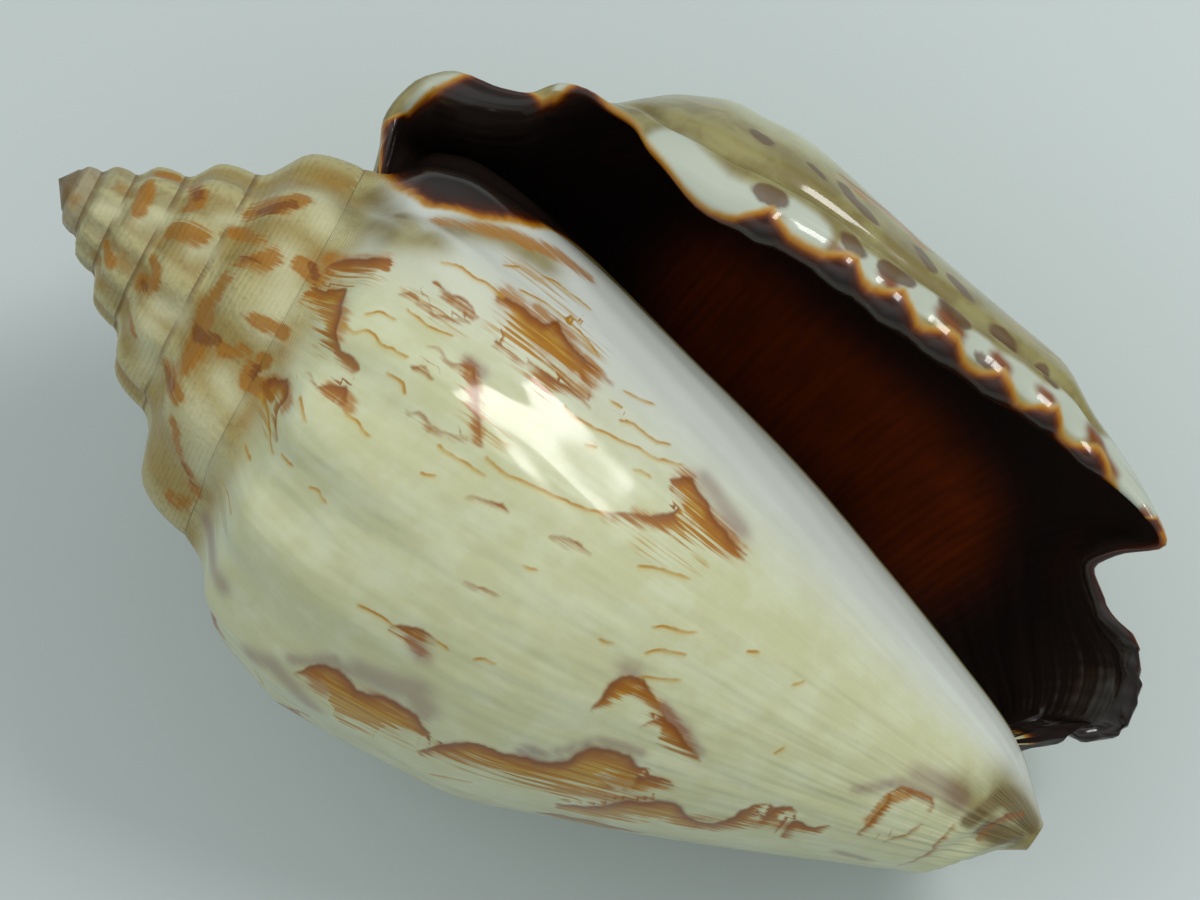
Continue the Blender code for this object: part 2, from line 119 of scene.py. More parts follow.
# Blotches on the last whorl, as they lie in the camera's frame: x, y and how far the streaks run on
# behind the leading line, in millimetres. The streaks run on towards the right hand of someone who
# walks along the line.
BLOTCHES = (
    ((328, 265, 0.7), (345, 258, 1.0), (366, 259, 1.0), (387, 259, 0.8)),
    ((318, 288, 1.0), (347, 290, 1.2), (341, 312, 1.4), (335, 333, 1.1), (341, 347, 0.6),
     (352, 355, 0.8), (357, 367, 0.5)),
    ((268, 381, 1.0), (290, 377, 1.3), (287, 398, 1.2), (276, 413, 0.6), (277, 438, 0.3)),
    ((307, 373, 0.1), (317, 386, 0.25), (331, 387, 0.7), (346, 389, 1.0), (346, 401, 0.4)),
    ((437, 283, 0.35), (454, 296, 0.5), (474, 306, 0.5), (479, 315, 0.2)),
    ((401, 293, 0.2), (415, 294, 0.35), (419, 302, 0.2), (437, 314, 0.3), (468, 320, 0.3)),
    ((499, 298, 0.6), (513, 300, 1.3), (533, 317, 1.9), (547, 324, 1.6), (558, 321, 1.5),
     (561, 333, 1.4), (575, 347, 1.2), (586, 361, 0.9), (600, 373, 0.3), (612, 381, 0.3)),
    ((532, 332, 0.6), (547, 349, 0.8), (562, 354, 0.9), (577, 371, 0.6), (592, 388, 0.3)),
    ((499, 340, 0.5), (519, 352, 0.5), (533, 360, 0.7), (549, 377, 1.0), (566, 386, 0.6),
     (578, 393, 0.3), (590, 407, 0.2)),
    ((429, 346, 0.1), (440, 350, 0.2), (452, 362, 0.3), (474, 367, 0.5)),
    ((474, 368, 0.7), (479, 390, 0.8), (477, 408, 0.5), (480, 425, 0.5), (483, 443, 0.3)),
    ((409, 410, 0.2), (423, 413, 0.3), (432, 427, 0.3), (448, 435, 0.2), (466, 438, 0.2)),
    ((468, 496, 0.2), (482, 498, 0.3), (502, 504, 0.5), (506, 512, 0.2)),
    ((415, 366, 0.3), (424, 367, 0.4), (432, 376, 0.2)),
    ((552, 536, 0.2), (566, 536, 0.4), (580, 541, 0.5), (591, 555, 0.2)),
    ((672, 478, 0.7), (692, 475, 1.3), (701, 495, 1.5), (712, 515, 1.4), (730, 540, 0.9),
     (745, 553, 0.3)),
    ((604, 514, 0.3), (630, 514, 0.5), (655, 517, 0.7), (676, 512, 1.2), (700, 528, 1.0),
     (722, 545, 0.4)),
    ((393, 624, 0.4), (407, 626, 0.8), (424, 632, 0.7), (438, 641, 0.2)),
    ((466, 584, 0.2), (480, 585, 0.3), (496, 597, 0.2)),
    ((297, 674, 0.3), (312, 667, 0.9), (326, 665, 1.5), (340, 671, 2.0), (348, 681, 2.6),
     (357, 692, 3.2), (376, 694, 3.8), (393, 701, 3.8), (413, 712, 3.0), (422, 723, 1.6),
     (430, 732, 0.6)),
    ((418, 750, 0.5), (441, 746, 1.0), (458, 743, 1.6), (475, 743, 1.2), (491, 750, 1.5),
     (511, 754, 1.8), (528, 757, 2.0), (540, 763, 1.8), (556, 764, 2.4), (567, 761, 3.0),
     (577, 754, 3.4), (591, 748, 3.6), (616, 750, 3.4), (628, 756, 2.6), (636, 766, 1.6),
     (646, 769, 0.4)),
    ((588, 782, 0.6), (624, 780, 1.0), (650, 776, 0.9), (667, 778, 0.7), (673, 784, 0.3)),
    ((560, 804, 1.0), (588, 807, 1.6), (610, 805, 1.8), (628, 800, 2.0), (644, 802, 2.4),
     (678, 804, 2.6), (686, 815, 1.8), (700, 822, 1.2), (712, 825, 0.8), (726, 821, 1.0),
     (740, 811, 0.9), (756, 804, 0.6), (766, 804, 0.2)),
    ((751, 826, 0.3), (762, 818, 0.8), (773, 808, 1.0), (787, 807, 0.7), (793, 813, 0.2)),
    ((782, 836, 0.3), (793, 821, 0.9), (804, 822, 1.2), (813, 828, 0.7), (827, 825, 0.2)),
    ((592, 709, 0.2), (602, 695, 0.9), (614, 681, 1.5), (627, 675, 1.4), (641, 676, 1.0),
     (650, 692, 0.7), (659, 708, 0.2)),
    ((641, 726, 0.1), (653, 720, 0.4), (664, 717, 0.8), (675, 728, 0.9), (686, 742, 0.8),
     (697, 756, 0.4), (701, 761, 0.1)),
    ((860, 833, 0.3), (871, 821, 0.5), (882, 807, 0.4), (891, 793, 0.3), (902, 786, 0.4),
     (917, 792, 0.4), (934, 797, 0.4), (932, 810, 0.2)),
    ((885, 842, 0.1), (899, 836, 0.4), (920, 825, 0.2)),
    ((899, 865, 0.2), (925, 855, 0.4), (939, 841, 0.4), (953, 826, 0.2)),
    ((978, 838, 0.3), (992, 822, 0.7), (1005, 815, 0.8), (1022, 812, 0.5)),
)

# Thin golden growth strokes, in the same frame
HAIRLINES = (
    ((344, 324), (353, 331), (367, 329), (384, 346), (392, 348), (406, 356)),
    ((367, 313), (381, 312), (394, 318)),
    ((389, 373), (403, 383), (404, 392)),
    ((347, 413), (357, 421), (368, 435)),
    ((409, 310), (431, 328), (451, 335)),
    ((443, 261), (460, 266), (474, 278), (488, 283), (502, 296)),
    ((521, 290), (549, 304), (572, 324), (591, 343), (598, 355)),
    ((528, 270), (556, 282), (590, 308)),
    ((625, 391), (653, 404)),
    ((611, 400), (621, 407)),
    ((566, 407), (577, 418), (591, 426), (617, 439), (639, 447), (656, 458), (681, 464)),
    ((621, 421), (631, 421), (645, 433), (656, 441), (669, 444)),
    ((488, 458), (504, 473), (524, 481), (547, 492), (575, 505), (604, 514)),
    ((440, 446), (462, 460), (484, 474)),
    ((311, 487), (319, 489), (325, 501)),
    ((423, 474), (433, 475)),
    ((635, 469), (645, 469), (651, 477)),
    ((587, 444), (595, 447)),
    ((360, 606), (376, 614), (393, 624)),
    ((438, 641), (449, 649)),
    ((476, 659), (485, 658), (494, 662)),
    ((655, 627), (669, 627), (681, 631), (695, 632)),
    ((647, 652), (664, 649), (684, 654)),
    ((641, 676), (658, 678), (678, 679)),
    ((749, 652), (757, 652)),
    ((794, 684), (802, 681)),
    ((776, 752), (782, 748)),
    ((640, 566), (660, 568), (690, 578)),
    ((300, 398), (303, 410), (306, 420)),
    ((246, 447), (250, 459)),
    ((283, 455), (291, 465)),
    ((222, 480), (229, 498), (231, 512)),
    ((262, 395), (268, 415), (273, 452)),
    ((430, 774), (452, 778), (470, 782)),
    ((600, 640), (612, 642)),
    ((525, 566), (536, 570)),
    ((505, 265), (525, 268), (545, 280)),
)

# Soft stains: how wide each is in millimetres, and the line that it follows in the camera's frame
STAINS = {
    "orange": (                   # marks on the spire
        (0.45, ((147, 186), (144, 197), (139, 208))),
        (0.50, ((190, 188), (198, 195), (192, 206))),
        (0.45, ((250, 214), (268, 208), (286, 205), (303, 199))),
        (0.40, ((262, 203), (275, 204))),
        (0.55, ((172, 233), (186, 232), (198, 238))),
        (0.40, ((236, 232), (248, 236), (262, 240))),
        (0.55, ((272, 257), (250, 262), (232, 270))),
        (0.75, ((228, 276), (217, 292), (207, 310), (198, 328))),
        (0.70, ((207, 318), (196, 342), (186, 362))),
        (0.40, ((141, 282), (150, 288), (156, 280))),
        (0.30, ((153, 258), (157, 270))),
        (0.30, ((107, 246), (110, 262))),
        (0.30, ((130, 318), (133, 332))),
        (0.45, ((165, 368), (170, 380), (177, 394))),
        (0.50, ((150, 408), (146, 430), (143, 455))),
        (0.30, ((174, 424), (181, 456), (192, 480), (198, 494))),
        (0.45, ((172, 500), (186, 498), (196, 488))),
        (0.45, ((301, 264), (308, 270), (315, 281))),
        (0.30, ((222, 349), (232, 352), (244, 350))),
        (0.35, ((246, 376), (256, 366), (266, 360))),
        (0.30, ((252, 320), (270, 326), (284, 333))),
        (0.45, ((250, 384), (262, 386), (272, 388))),
        (0.40, ((262, 268), (270, 260))),
        (0.30, ((160, 175), (176, 178))),
    ),
    "brown": (                    # the dark cores of some of them
        (0.30, ((193, 189), (199, 196))),
        (0.28, ((256, 213), (276, 209), (292, 204))),
        (0.30, ((238, 262), (256, 260))),
        (0.30, ((196, 332), (206, 338), (216, 338))),
        (0.26, ((141, 284), (148, 288))),
        (0.30, ((164, 370), (172, 386))),
        (0.35, ((151, 410), (146, 432), (143, 452))),
        (0.18, ((181, 460), (194, 486))),
        (0.22, ((258, 368), (250, 376))),
        (0.20, ((312, 266), (316, 278))),
    ),
    "purple": (                   # hazes beside blotches
        (0.50, ((292, 660), (330, 664), (372, 678), (408, 690), (424, 716))),
        (0.45, ((596, 752), (616, 744), (640, 752))),
        (0.35, ((520, 752), (548, 764), (572, 760))),
        (0.35, ((410, 640), (424, 656))),
        (0.40, ((664, 706), (684, 730), (700, 752))),
        (0.40, ((856, 790), (900, 782), (930, 796))),
        (1.10, ((362, 672), (392, 684), (418, 690))),
        (1.00, ((414, 690), (424, 708))),
        (0.50, ((318, 660), (336, 660))),
        (0.70, ((416, 640), (424, 656))),
        (0.80, ((250, 655), (272, 664), (290, 684), (312, 706))),
        (0.70, ((206, 520), (212, 548), (222, 585))),
        (0.70, ((706, 480), (722, 504), (742, 530))),
        (0.50, ((470, 362), (482, 372))),
        (0.60, ((668, 716), (684, 730))),
        (0.60, ((624, 668), (636, 672))),
        (0.80, ((918, 776), (946, 786), (960, 800))),
        (0.40, ((560, 752), (600, 740), (628, 746))),
        (0.45, ((530, 748), (545, 756))),
        (0.35, ((838, 852), (868, 860))),
    ),
    "spots": (                    # along the lip's outer band
        (0.50, ((757, 134), (768, 142))),
        (0.60, ((764, 192), (780, 200))),
        (0.45, ((843, 186), (853, 200))),
        (0.45, ((861, 206), (871, 218))),
        (0.50, ((848, 238), (856, 250))),
        (0.50, ((886, 268), (908, 280))),
        (0.50, ((918, 249), (930, 266))),
        (0.50, ((956, 282), (968, 296))),
        (0.50, ((944, 304), (962, 322))),
        (0.50, ((998, 332), (1010, 346))),
        (0.40, ((1040, 368), (1052, 382))),
        (0.30, ((812, 166), (822, 176))),
        (0.35, ((980, 356), (994, 370))),
    ),
    "gap": (                      # brown between the white patches of the lip
        (0.42, ((762, 218), (776, 216))),
        (0.42, ((836, 250), (846, 262))),
        (0.42, ((886, 278), (896, 290))),
        (0.45, ((944, 314), (958, 332))),
        (0.42, ((998, 358), (1006, 370))),
        (0.40, ((1044, 392), (1052, 402))),
        (0.60, ((1094, 432), (1102, 456), (1110, 474))),
        (0.42, ((1144, 514), (1150, 524))),
    ),
    "warm": (                     # golden tints round the blotches
        (0.45, ((440, 222), (480, 228), (520, 240), (560, 256), (590, 278))),
        (0.90, ((508, 300), (530, 325), (556, 352), (585, 380))),
        (0.50, ((540, 310), (566, 334), (596, 372))),
        (0.40, ((470, 362), (476, 400), (478, 436))),
        (0.75, ((686, 482), (698, 510), (724, 536), (738, 548))),
        (0.40, ((636, 516), (662, 522), (690, 522))),
        (0.90, ((318, 684), (350, 696), (384, 708), (408, 722))),
        (0.70, ((440, 750), (500, 764), (560, 772), (610, 778), (660, 786))),
        (0.50, ((560, 786), (620, 800), (668, 800))),
        (0.60, ((332, 292), (340, 318), (336, 336))),
        (0.45, ((330, 262), (356, 264), (384, 262))),
        (0.50, ((268, 384), (284, 390), (286, 404))),
        (0.45, ((328, 390), (344, 396), (348, 406))),
        (0.40, ((612, 690), (640, 688), (664, 712), (690, 746))),
        (0.35, ((410, 638), (424, 654))),
        (0.45, ((690, 818), (740, 822), (800, 828))),
        (0.30, ((868, 822), (888, 800), (912, 792))),
    ),
    "tip": (                      # the dark front tip
        (0.75, ((1008, 798), (1024, 810), (1032, 824))),
        (0.70, ((984, 828), (1004, 836), (1016, 838))),
        (0.45, ((968, 822), (984, 810), (1000, 796))),
    ),
    "streaked": (                 # golden growth streaks
        (1.10, ((520, 262), (548, 286), (576, 318), (594, 344))),
        (0.90, ((500, 330), (530, 362), (566, 396))),
        (0.60, ((405, 296), (430, 310), (462, 326))),
        (0.60, ((468, 410), (500, 440))),
        (0.80, ((322, 292), (322, 320), (322, 345))),
        (0.50, ((640, 545), (672, 560), (700, 566))),
        (0.80, ((330, 700), (372, 722), (400, 740))),
        (1.20, ((470, 764), (540, 780), (620, 786))),
        (0.50, ((262, 400), (268, 430))),
        (0.60, ((345, 275), (372, 278))),
    ),
    "tan": (                      # the lip's outer band, the rear of the callus and the tip
        (2.20, ((660, 104), (700, 110), (760, 140), (820, 178), (880, 226), (940, 276), (990, 320))),
        (0.90, ((700, 140), (740, 165), (800, 205), (850, 236))),
        (0.90, ((372, 196), (392, 216), (410, 226))),
        (1.10, ((345, 212), (372, 222), (400, 238), (430, 240))),
        (1.00, ((452, 228), (500, 236), (545, 262))),
        (1.30, ((1000, 790), (1020, 806), (1034, 824))),
        (1.00, ((960, 792), (985, 812), (1000, 836))),
    ),
    "white": (                    # patches on the lip
        (1.50, ((668, 150), (684, 172), (705, 190))),
        (1.30, ((690, 178), (720, 200), (745, 208))),
        (1.00, ((790, 216), (812, 232))),
        (0.75, ((853, 258), (872, 270))),
        (0.75, ((906, 290), (930, 304))),
        (0.65, ((970, 340), (988, 353))),
        (0.70, ((1014, 370), (1034, 388))),
        (0.80, ((1060, 402), (1080, 422))),
        (1.10, ((1117, 455), (1128, 482), (1140, 505))),
        (0.40, ((1148, 534), (1153, 545))),
        (1.00, ((420, 108), (440, 96), (460, 92))),
        (0.60, ((565, 92), (580, 96))),
    ),
    "pale": (                     # pale ground between the spire's marks
        (0.55, ((102, 208), (118, 212))),
        (0.70, ((142, 216), (162, 218))),
        (0.60, ((196, 250), (208, 250))),
        (0.60, ((220, 220), (236, 220))),
        (0.80, ((160, 306), (180, 312))),
        (1.10, ((284, 256), (286, 290), (270, 326))),
        (0.90, ((146, 330), (148, 366))),
        (1.20, ((196, 420), (206, 446), (200, 470))),
        (1.00, ((318, 196), (326, 222))),
        (0.80, ((222, 380), (232, 400))),
    ),
}

# How far the lip's white edge reaches into the aperture, by share of the profile, and the gaps in
# it, where brown runs out to the edge: place along the axis and half width, in millimetres
WHITE_REACH = ((0.0, -0.6), (0.035, -0.5), (0.06, 1.5), (0.10, 1.5), (0.135, -0.2), (0.16, -0.2),
               (0.18, 1.1), (0.20, 1.1), (0.22, -0.3), (0.24, 0.1), (0.35, 0.0), (0.41, -0.7),
               (0.50, -0.8), (0.57, -0.5), (0.63, -0.2), (0.70, 0.1), (0.745, 0.4),
               (0.76, 1.8), (0.775, 1.8), (0.79, 0.3), (0.82, -0.1), (0.86, -0.3), (0.93, -0.4),
               (0.965, -1.2), (1.0, -2.8))
LIP_GAPS = ((31.1, 0.5), (35.8, 0.45), (39.0, 0.5), (42.1, 0.5), (45.5, 0.45), (48.6, 0.5),
            (51.7, 0.6), (56.0, 0.25))
GAP_DEPTH = 1.15              # how far the white draws back in a gap
GAP_SPREAD = 1.45             # how much wider than LIP_GAPS says the white draws back

# The lip's edge is wavy and ragged: when that starts, how far the waves swing, in radians, and the
# teeth near the canal: size in millimetres, number over the profile and start
RIPPLE_TURN = -0.035
WAVE_SWING = -0.013
WAVE_SPREAD = 1.3             # how much wider than LIP_GAPS says the edge swings back
WAVE_BACK = 1.6               # how far it swings back in a gap, as a share of the swing
TEETH = ((0.16, 41.0, 0.0), (0.12, 67.0, 1.0), (0.16, 23.0, 2.0))
TEETH_BACK = 0.28             # drawn back by this, so that no tooth stands out

# The crease where the lip starts to roll in, and the low growth folds and the tip's grooves
CREASE_TURN = -0.026
CREASE_WIDTH = 0.0055
CREASE_DEPTH = 0.42
FOLD_DROP = 0.035             # lowered by this, so that the folds don't stand out
GROOVE_DEPTH = 0.20

# The dark pad at the rear of the aperture and, from there on, the growth line along which the
# white inner side turns dark
PAD_LINE = ((376, 150), (385, 165), (400, 182), (430, 203), (480, 213), (530, 222), (565, 236),
            (597, 262))
PAD_SEAM_X = (26.5, 57.0)     # where that line runs along the axis
PAD_SEAM_TURN = -1.055        # and its growth time
PAD_SEAM_STEPS = 24
PAD_LAST_TURN = -0.75         # what grew later turns dark by its place behind the lip's edge
PAD_MARGIN = 2.0              # the spire is clear of the dark from this far behind the pad on

# The lit wall deep inside: how wide its glow is, and the line that it follows
GLOW = ((4.4, ((720, 310), (800, 380), (880, 450), (935, 520))),)


def blend(start, end, x):
    """Rise smoothly from 0 at start to 1 at end."""
    f = np.clip((x - start) / (end - start), 0.0, 1.0)
    return f * f * (3.0 - 2.0 * f)


def smooth_curve(knots, x):
    """Read a smooth curve through (x, value) knots that never overshoots between them."""
    kx = np.array([k[0] for k in knots], float)
    ky = np.array([k[1] for k in knots], float)
    step = np.diff(kx)
    slope = np.diff(ky) / step
    inner = np.zeros(len(kx))
    inner[0] = slope[0]
    inner[-1] = slope[-1]
    same = slope[:-1] * slope[1:] > 0.0
    harmonic = 2.0 * slope[:-1] * slope[1:] / np.where(same, slope[:-1] + slope[1:], 1.0)
    inner[1:-1] = np.where(same, harmonic, 0.0)
    x = np.clip(np.asarray(x, float), kx[0], kx[-1])
    i = np.clip(np.searchsorted(kx, x) - 1, 0, len(step) - 1)
    f = (x - kx[i]) / step[i]
    return ((1 + 2 * f) * (1 - f) ** 2 * ky[i] + f * (1 - f) ** 2 * step[i] * inner[i]
            + f * f * (3 - 2 * f) * ky[i + 1] + f * f * (f - 1) * step[i] * inner[i + 1])


def azimuth(t):
    return math.radians(LIP_AZIMUTH) + FULL_TURN * t


def whorl_size(t):
    return SUTURE_X_NOW * WHORL_GROWTH ** t


def suture_x(t):
    """Where the whorl's top edge lies along the axis."""
    climb = SUTURE_CLIMB * blend(CLIMB_START, 0.0, t)
    squat = APEX_SQUAT * (1.0 - blend(EARLY_TURN, -2.5, t))
    return whorl_size(t) - climb - squat


def front_x(t):
    """Where the whorl's front edge lies on the columella."""
    return SHELL_END_X + (CANAL_END_X - SHELL_END_X) * blend(-1.0, 0.0, t)


# Radii of the last two whorls at stations along the axis, at five times
STATION_TURNS = (-2.0, -1.04, -0.54, -0.30, 0.0)
STATIONS = (
    (33.0, (5.2, 10.3, 15.2, 16.6, 18.0)),
    (40.0, (4.7, 8.9, 12.7, 14.0, 15.5)),
    (46.5, (4.0, 7.1, 9.8, 11.0, 12.2)),
    (52.0, (3.4, 5.4, 7.1, 8.1, 9.2)),
    (56.5, (2.6, 3.75, 4.6, 5.3, 6.0)),
)

# Knobs on the shoulder: the turn of each knob from the early spire to the lip
KNOB_TURNS = (-2.00, -1.90, -1.80, -1.69, -1.555, -1.43, -1.32, -1.22, -1.13, -1.05, -0.97,
              -0.89, -0.82, -0.755, -0.68, -0.60, -0.51, -0.42, -0.32, -0.21)
RIBS_PER_TURN = 13.0


def knob_wave(t):
    """Rise to 1 on each knob and fall to 0 between knobs."""
    phase = np.interp(t, KNOB_TURNS, range(len(KNOB_TURNS)))
    phase += min(t - KNOB_TURNS[0], 0.0) * RIBS_PER_TURN
    return math.cos(math.pi * phase) ** 2


def knob_height(t):
    return smooth_curve([(-6, 0.03), (-2.2, 0.075), (-1.5, 0.105), (-1.0, 0.06), (-0.6, 0.05),
                         (-0.2, 0.035), (0, 0.0)], t)


def knob_reach(t):
    """How far down the whorl the knobs run out in folds."""
    return 1.6 + (0.8 - 1.6) * blend(-1.3, -0.9, t)


@functools.lru_cache(maxsize=None)
def suture_radius(t):
    """The suture lies on the whorl before."""
    if t <= EARLY_TURN + 1.0:
        return SUTURE_SLOPE * whorl_size(t)
    return float(radius(t - 1.0, suture_x(t)))


def radius(t, x):
    """Distance from the axis of the whorl grown at time t, at places x along the axis."""
    scale = whorl_size(t)
    top = suture_x(t)
    shoulder = smooth_curve([(-6, 1.06), (-1.5, 1.07), (-1.0, 0.985), (-0.5, 0.98), (0, 0.96)], t)
    start = suture_radius(t)
    knots = [(top, start),
             (top + 0.07 * scale, start + 0.035 * scale),
             (top + 0.22 * scale, (0.18 * SUTURE_SLOPE + 0.82 * shoulder) * scale * 0.985),
             (top + 0.40 * scale, shoulder * scale),
             (top + 0.55 * scale, smooth_curve([(-2, 1.10), (-1.5, 1.09), (-1.0, 0.99),
                                                (-0.5, 1.02), (0, 1.0)], t) * scale)]
    if t > -2.5:
        knots += [(station, smooth_curve(list(zip(STATION_TURNS, radii)), t))
                  for station, radii in STATIONS]
        if t <= -1.0:
            knots.append((SHELL_END_X, TIP_RADIUS))
        else:
            end = front_x(t)
            knots.append((end, float(radius(t - 1.0, end))))
    x = np.asarray(x, float)
    rise = (x - top) / scale
    fold = blend(0.02, 0.2, rise) * (1.0 - blend(0.25, 0.25 + knob_reach(t), rise))
    lump = knob_height(t) * scale * (knob_wave(t) - 0.4) * fold
    lump = lump * (1.0 - blend(SHELL_END_X - 25.0, SHELL_END_X - 12.0, x))
    return smooth_curve(knots, x) + lump


def place(t, x, r):
    """Points of the whorl at time t."""
    a = azimuth(t)
    x = np.asarray(x, float)
    return np.stack([x, r * math.cos(a), r * math.sin(a)], axis=-1)


# The lip's edge, from the suture round the flared rear, down the inrolled side, round the notch
# and the front lobe to the canal: share of the profile, X, Y, Z, and the pull that shapes the curl
NOTCH = (0.795, 0.91)
NOTCH_TURN = -0.15            # the notch is cut into the last part of the lip only
LIP_EDGE = (
    (0.000, 13.4, 9.3, 2.5, 0, 8, 2),
    (0.045, 12.1, 12.1, 1.6, -6, 8, 2),
    (0.100, 13.3, 14.9, 1.5, -5, 12, 3),
    (0.135, 15.8, 15.7, 2.0, -3, 12, 4),
    (0.165, 17.6, 16.7, 2.0, -2, 12, 4),
    (0.195, 18.5, 18.0, 2.0, -2, 12, 5),
    (0.225, 20.5, 18.9, 3.4, -1, 4, 10),
    (0.260, 22.6, 18.8, 6.2, 0, -10, 12),
    (0.295, 24.4, 18.2, 8.6, 0, -20, 12),
    (0.350, 27.6, 18.0, 9.8, 0, -27, 10),
    (0.400, 30.8, 18.6, 9.8, 0, -26, 10),
    (0.460, 34.9, 19.0, 9.3, 0, -22, 10),
    (0.525, 39.3, 18.9, 8.6, 0, -20, 10),
    (0.615, 45.5, 18.8, 7.2, 1, -19, 10),
    (0.660, 48.5, 18.7, 6.4, 2, -19, 9),
    (0.705, 51.4, 18.0, 5.6, 3, -15, 8),
    (0.745, 53.6, 17.6, 5.0, 4, -12, 8),
    (0.780, 55.8, 17.0, 4.6, 5, -8, 8),
    (0.810, 57.2, 16.1, 4.2, 5, -4, 8),
    (0.835, 55.6, 14.7, 3.0, 3, 0, 8),
    (0.855, 54.8, 13.4, 1.8, 2, 2, 8),
    (0.875, 55.7, 12.4, 1.0, 3, 3, 7),
    (0.900, 57.9, 11.3, 0.4, 5, 4, 6),
    (0.920, 59.8, 10.4, -0.4, 8, 4, 4),
    (0.940, 60.6, 8.9, -1.2, 9, 3, 2),
    (0.957, 60.8, 7.2, -2.0, 9, 2, 1),
    (0.972, 59.8, 6.0, -2.4, 8, 2, 1),
    (0.986, 58.3, 4.8, -1.9, 5, 2, 1),
    (1.000, 57.2, 3.3, 0.9, 2, 2, 1),
)


def lip_edge(s, notched=True):
    """The lip's edge at shares s of the profile, and the pull there, both as x, r and azimuth."""
    table = [row for row in LIP_EDGE if notched or not NOTCH[0] < row[0] < NOTCH[1]]
    shares, *measures = zip(*table)
    columns = [smooth_curve(list(zip(shares, measure)), s) for measure in measures]
    x, y, z, pull_x, pull_y, pull_z = columns
    r = np.hypot(y, z)
    edge = np.stack([x, r, np.arctan2(z, y)], axis=-1)
    pull = np.stack([pull_x, (y * pull_y + z * pull_z) / r, (y * pull_z - z * pull_y) / r ** 2],
                    axis=-1)
    return edge, pull


def profile_x(t, s):
    """Spread the shares s over the profile, closer together near the suture."""
    top = suture_x(t)
    return top + (front_x(t) - top) * np.asarray(s, float) ** PROFILE_POWER


def spiral(t, s):
    """The even growth line at time t, as x, r and azimuth."""
    x = profile_x(t, s)
    return np.stack([x, radius(t, x), np.full_like(x, azimuth(t))], axis=-1)


def swell(t, s, notched):
    """Between the last even growth line and the lip's edge, a smooth run from one to the other."""
    start = spiral(LIP_START, s)
    speed = (start - spiral(LIP_START - NUDGE, s)) / NUDGE * -LIP_START
    edge, pull = lip_edge(s, notched=False)
    notch = (lip_edge(s)[0] - edge) * blend(NOTCH_TURN, 0.0, t) if notched else 0.0
    ripple = lip_ripple(s) * blend(RIPPLE_TURN, 0.0, t) if notched else 0.0
    f = (t - LIP_START) / -LIP_START
    return ((1 + 2 * f) * (1 - f) ** 2 * start + f * (1 - f) ** 2 * speed
            + f * f * (3 - 2 * f) * edge + f * f * (f - 1) * pull + notch + ripple)


def growth_line(t, s, notched):
    """The last whorl's outer face at time t and shares s of the profile, as x, r and azimuth."""
    if t <= LIP_START:
        return spiral(t, s)
    ends = np.array([suture_x(t), front_x(t)])
    seat = np.stack([ends, radius(t - 1.0, ends), np.full(2, azimuth(t))], axis=-1)
    off = seat - swell(t, np.array([0.0, 1.0]), notched)
    rear = (1.0 - blend(0.0, 0.12, s))[:, None]
    front = blend(0.955, 1.0, s)[:, None]
    return swell(t, s, notched) + rear * off[0] + front * off[1]


def sheet(t, s, notched=True):
    """Points of the last whorl's outer face at time t and shares s of the profile."""
    x, r, a = growth_line(t, np.asarray(s, float), notched).T
    return np.stack([x, r * np.cos(a), r * np.sin(a)], axis=-1)


def normals(t, s):
    """Outward unit normals of the sheet, as it would run without the notch."""
    reach = 0.012
    t = min(t, -NUDGE)
    along = (sheet(t, np.minimum(s + reach, 1.0), False)
             - sheet(t, np.maximum(s - reach, 0.0), False))
    onward = sheet(t + NUDGE, s, False) - sheet(t - NUDGE, s, False)
    out = np.cross(onward, along)
    return out / np.linalg.norm(out, axis=1)[:, None]


def thickness(t, s):
    """The wall's thickness: stout along the inrolled side of the lip, thin at its ends."""
    lip = blend(-0.16, -0.02, t)
    stout = smooth_curve(((0, 0), (0.30, 0), (0.38, 1), (0.60, 0.9), (0.74, 0), (1, 0)), s)
    fine = smooth_curve(((0, 0.3), (0.10, 0.35), (0.25, 0.62), (0.34, 0.1), (0.68, 0), (0.80, 0.66),
                         (0.90, 0.45), (1, 0.5)), s)
    front = 0.35 * blend(0.80, 0.95, s)
    return WALL * (1.0 - front - (fine - front * 0.5) * lip + 0.9 * stout * lip)


# How far from the suture and from the front end the hollow stays, in shares at each time
HOLLOW_START = ((-1.0, 0.085), (-0.40, 0.088), (-0.24, 0.10), (-0.16, 0.135), (-0.11, 0.105),
                (-0.06, 0.05), (0.0, 0.03))
HOLLOW_END = ((-1.0, 0.045), (-0.25, 0.045), (-0.12, 0.028), (0.0, 0.012))


def hollow_shares(t, shares):
    """Draw shares of the whole profile in at both ends, to where the whorl is hollow behind it."""
    rear = smooth_curve(HOLLOW_START, t) * (1.0 - blend(0.0, 0.3, shares))
    front = smooth_curve(HOLLOW_END, t) * blend(0.7, 1.0, shares)
    return shares + rear - front


def lip_ripple(s):
    """The waves and teeth of the lip's edge at shares s, as x, r and azimuth."""
    s = np.asarray(s, float)
    x = lip_x(s)
    gaps = sum(np.exp(-((x - middle) / (WAVE_SPREAD * half)) ** 2) for middle, half in LIP_GAPS)
    inrolled = blend(0.235, 0.27, s) * (1.0 - blend(0.76, 0.80, s))
    waves = WAVE_SWING * (1.0 - WAVE_BACK * gaps) * inrolled
    teeth = sum(size * np.sin(FULL_TURN * number * s + start) for size, number, start in TEETH)
    front = blend(0.875, 0.90, s) * (1.0 - blend(0.985, 1.0, s))
    return np.stack([(teeth - TEETH_BACK) * front, 0.5 * teeth * front, waves], axis=-1)


def lip_x(s):
    """Where share s of the inrolled lip's edge lies along the axis."""
    rows_here = [row for row in LIP_EDGE if 0.2 < row[0] < 0.815]
    return np.interp(s, [row[0] for row in rows_here], [row[1] for row in rows_here])


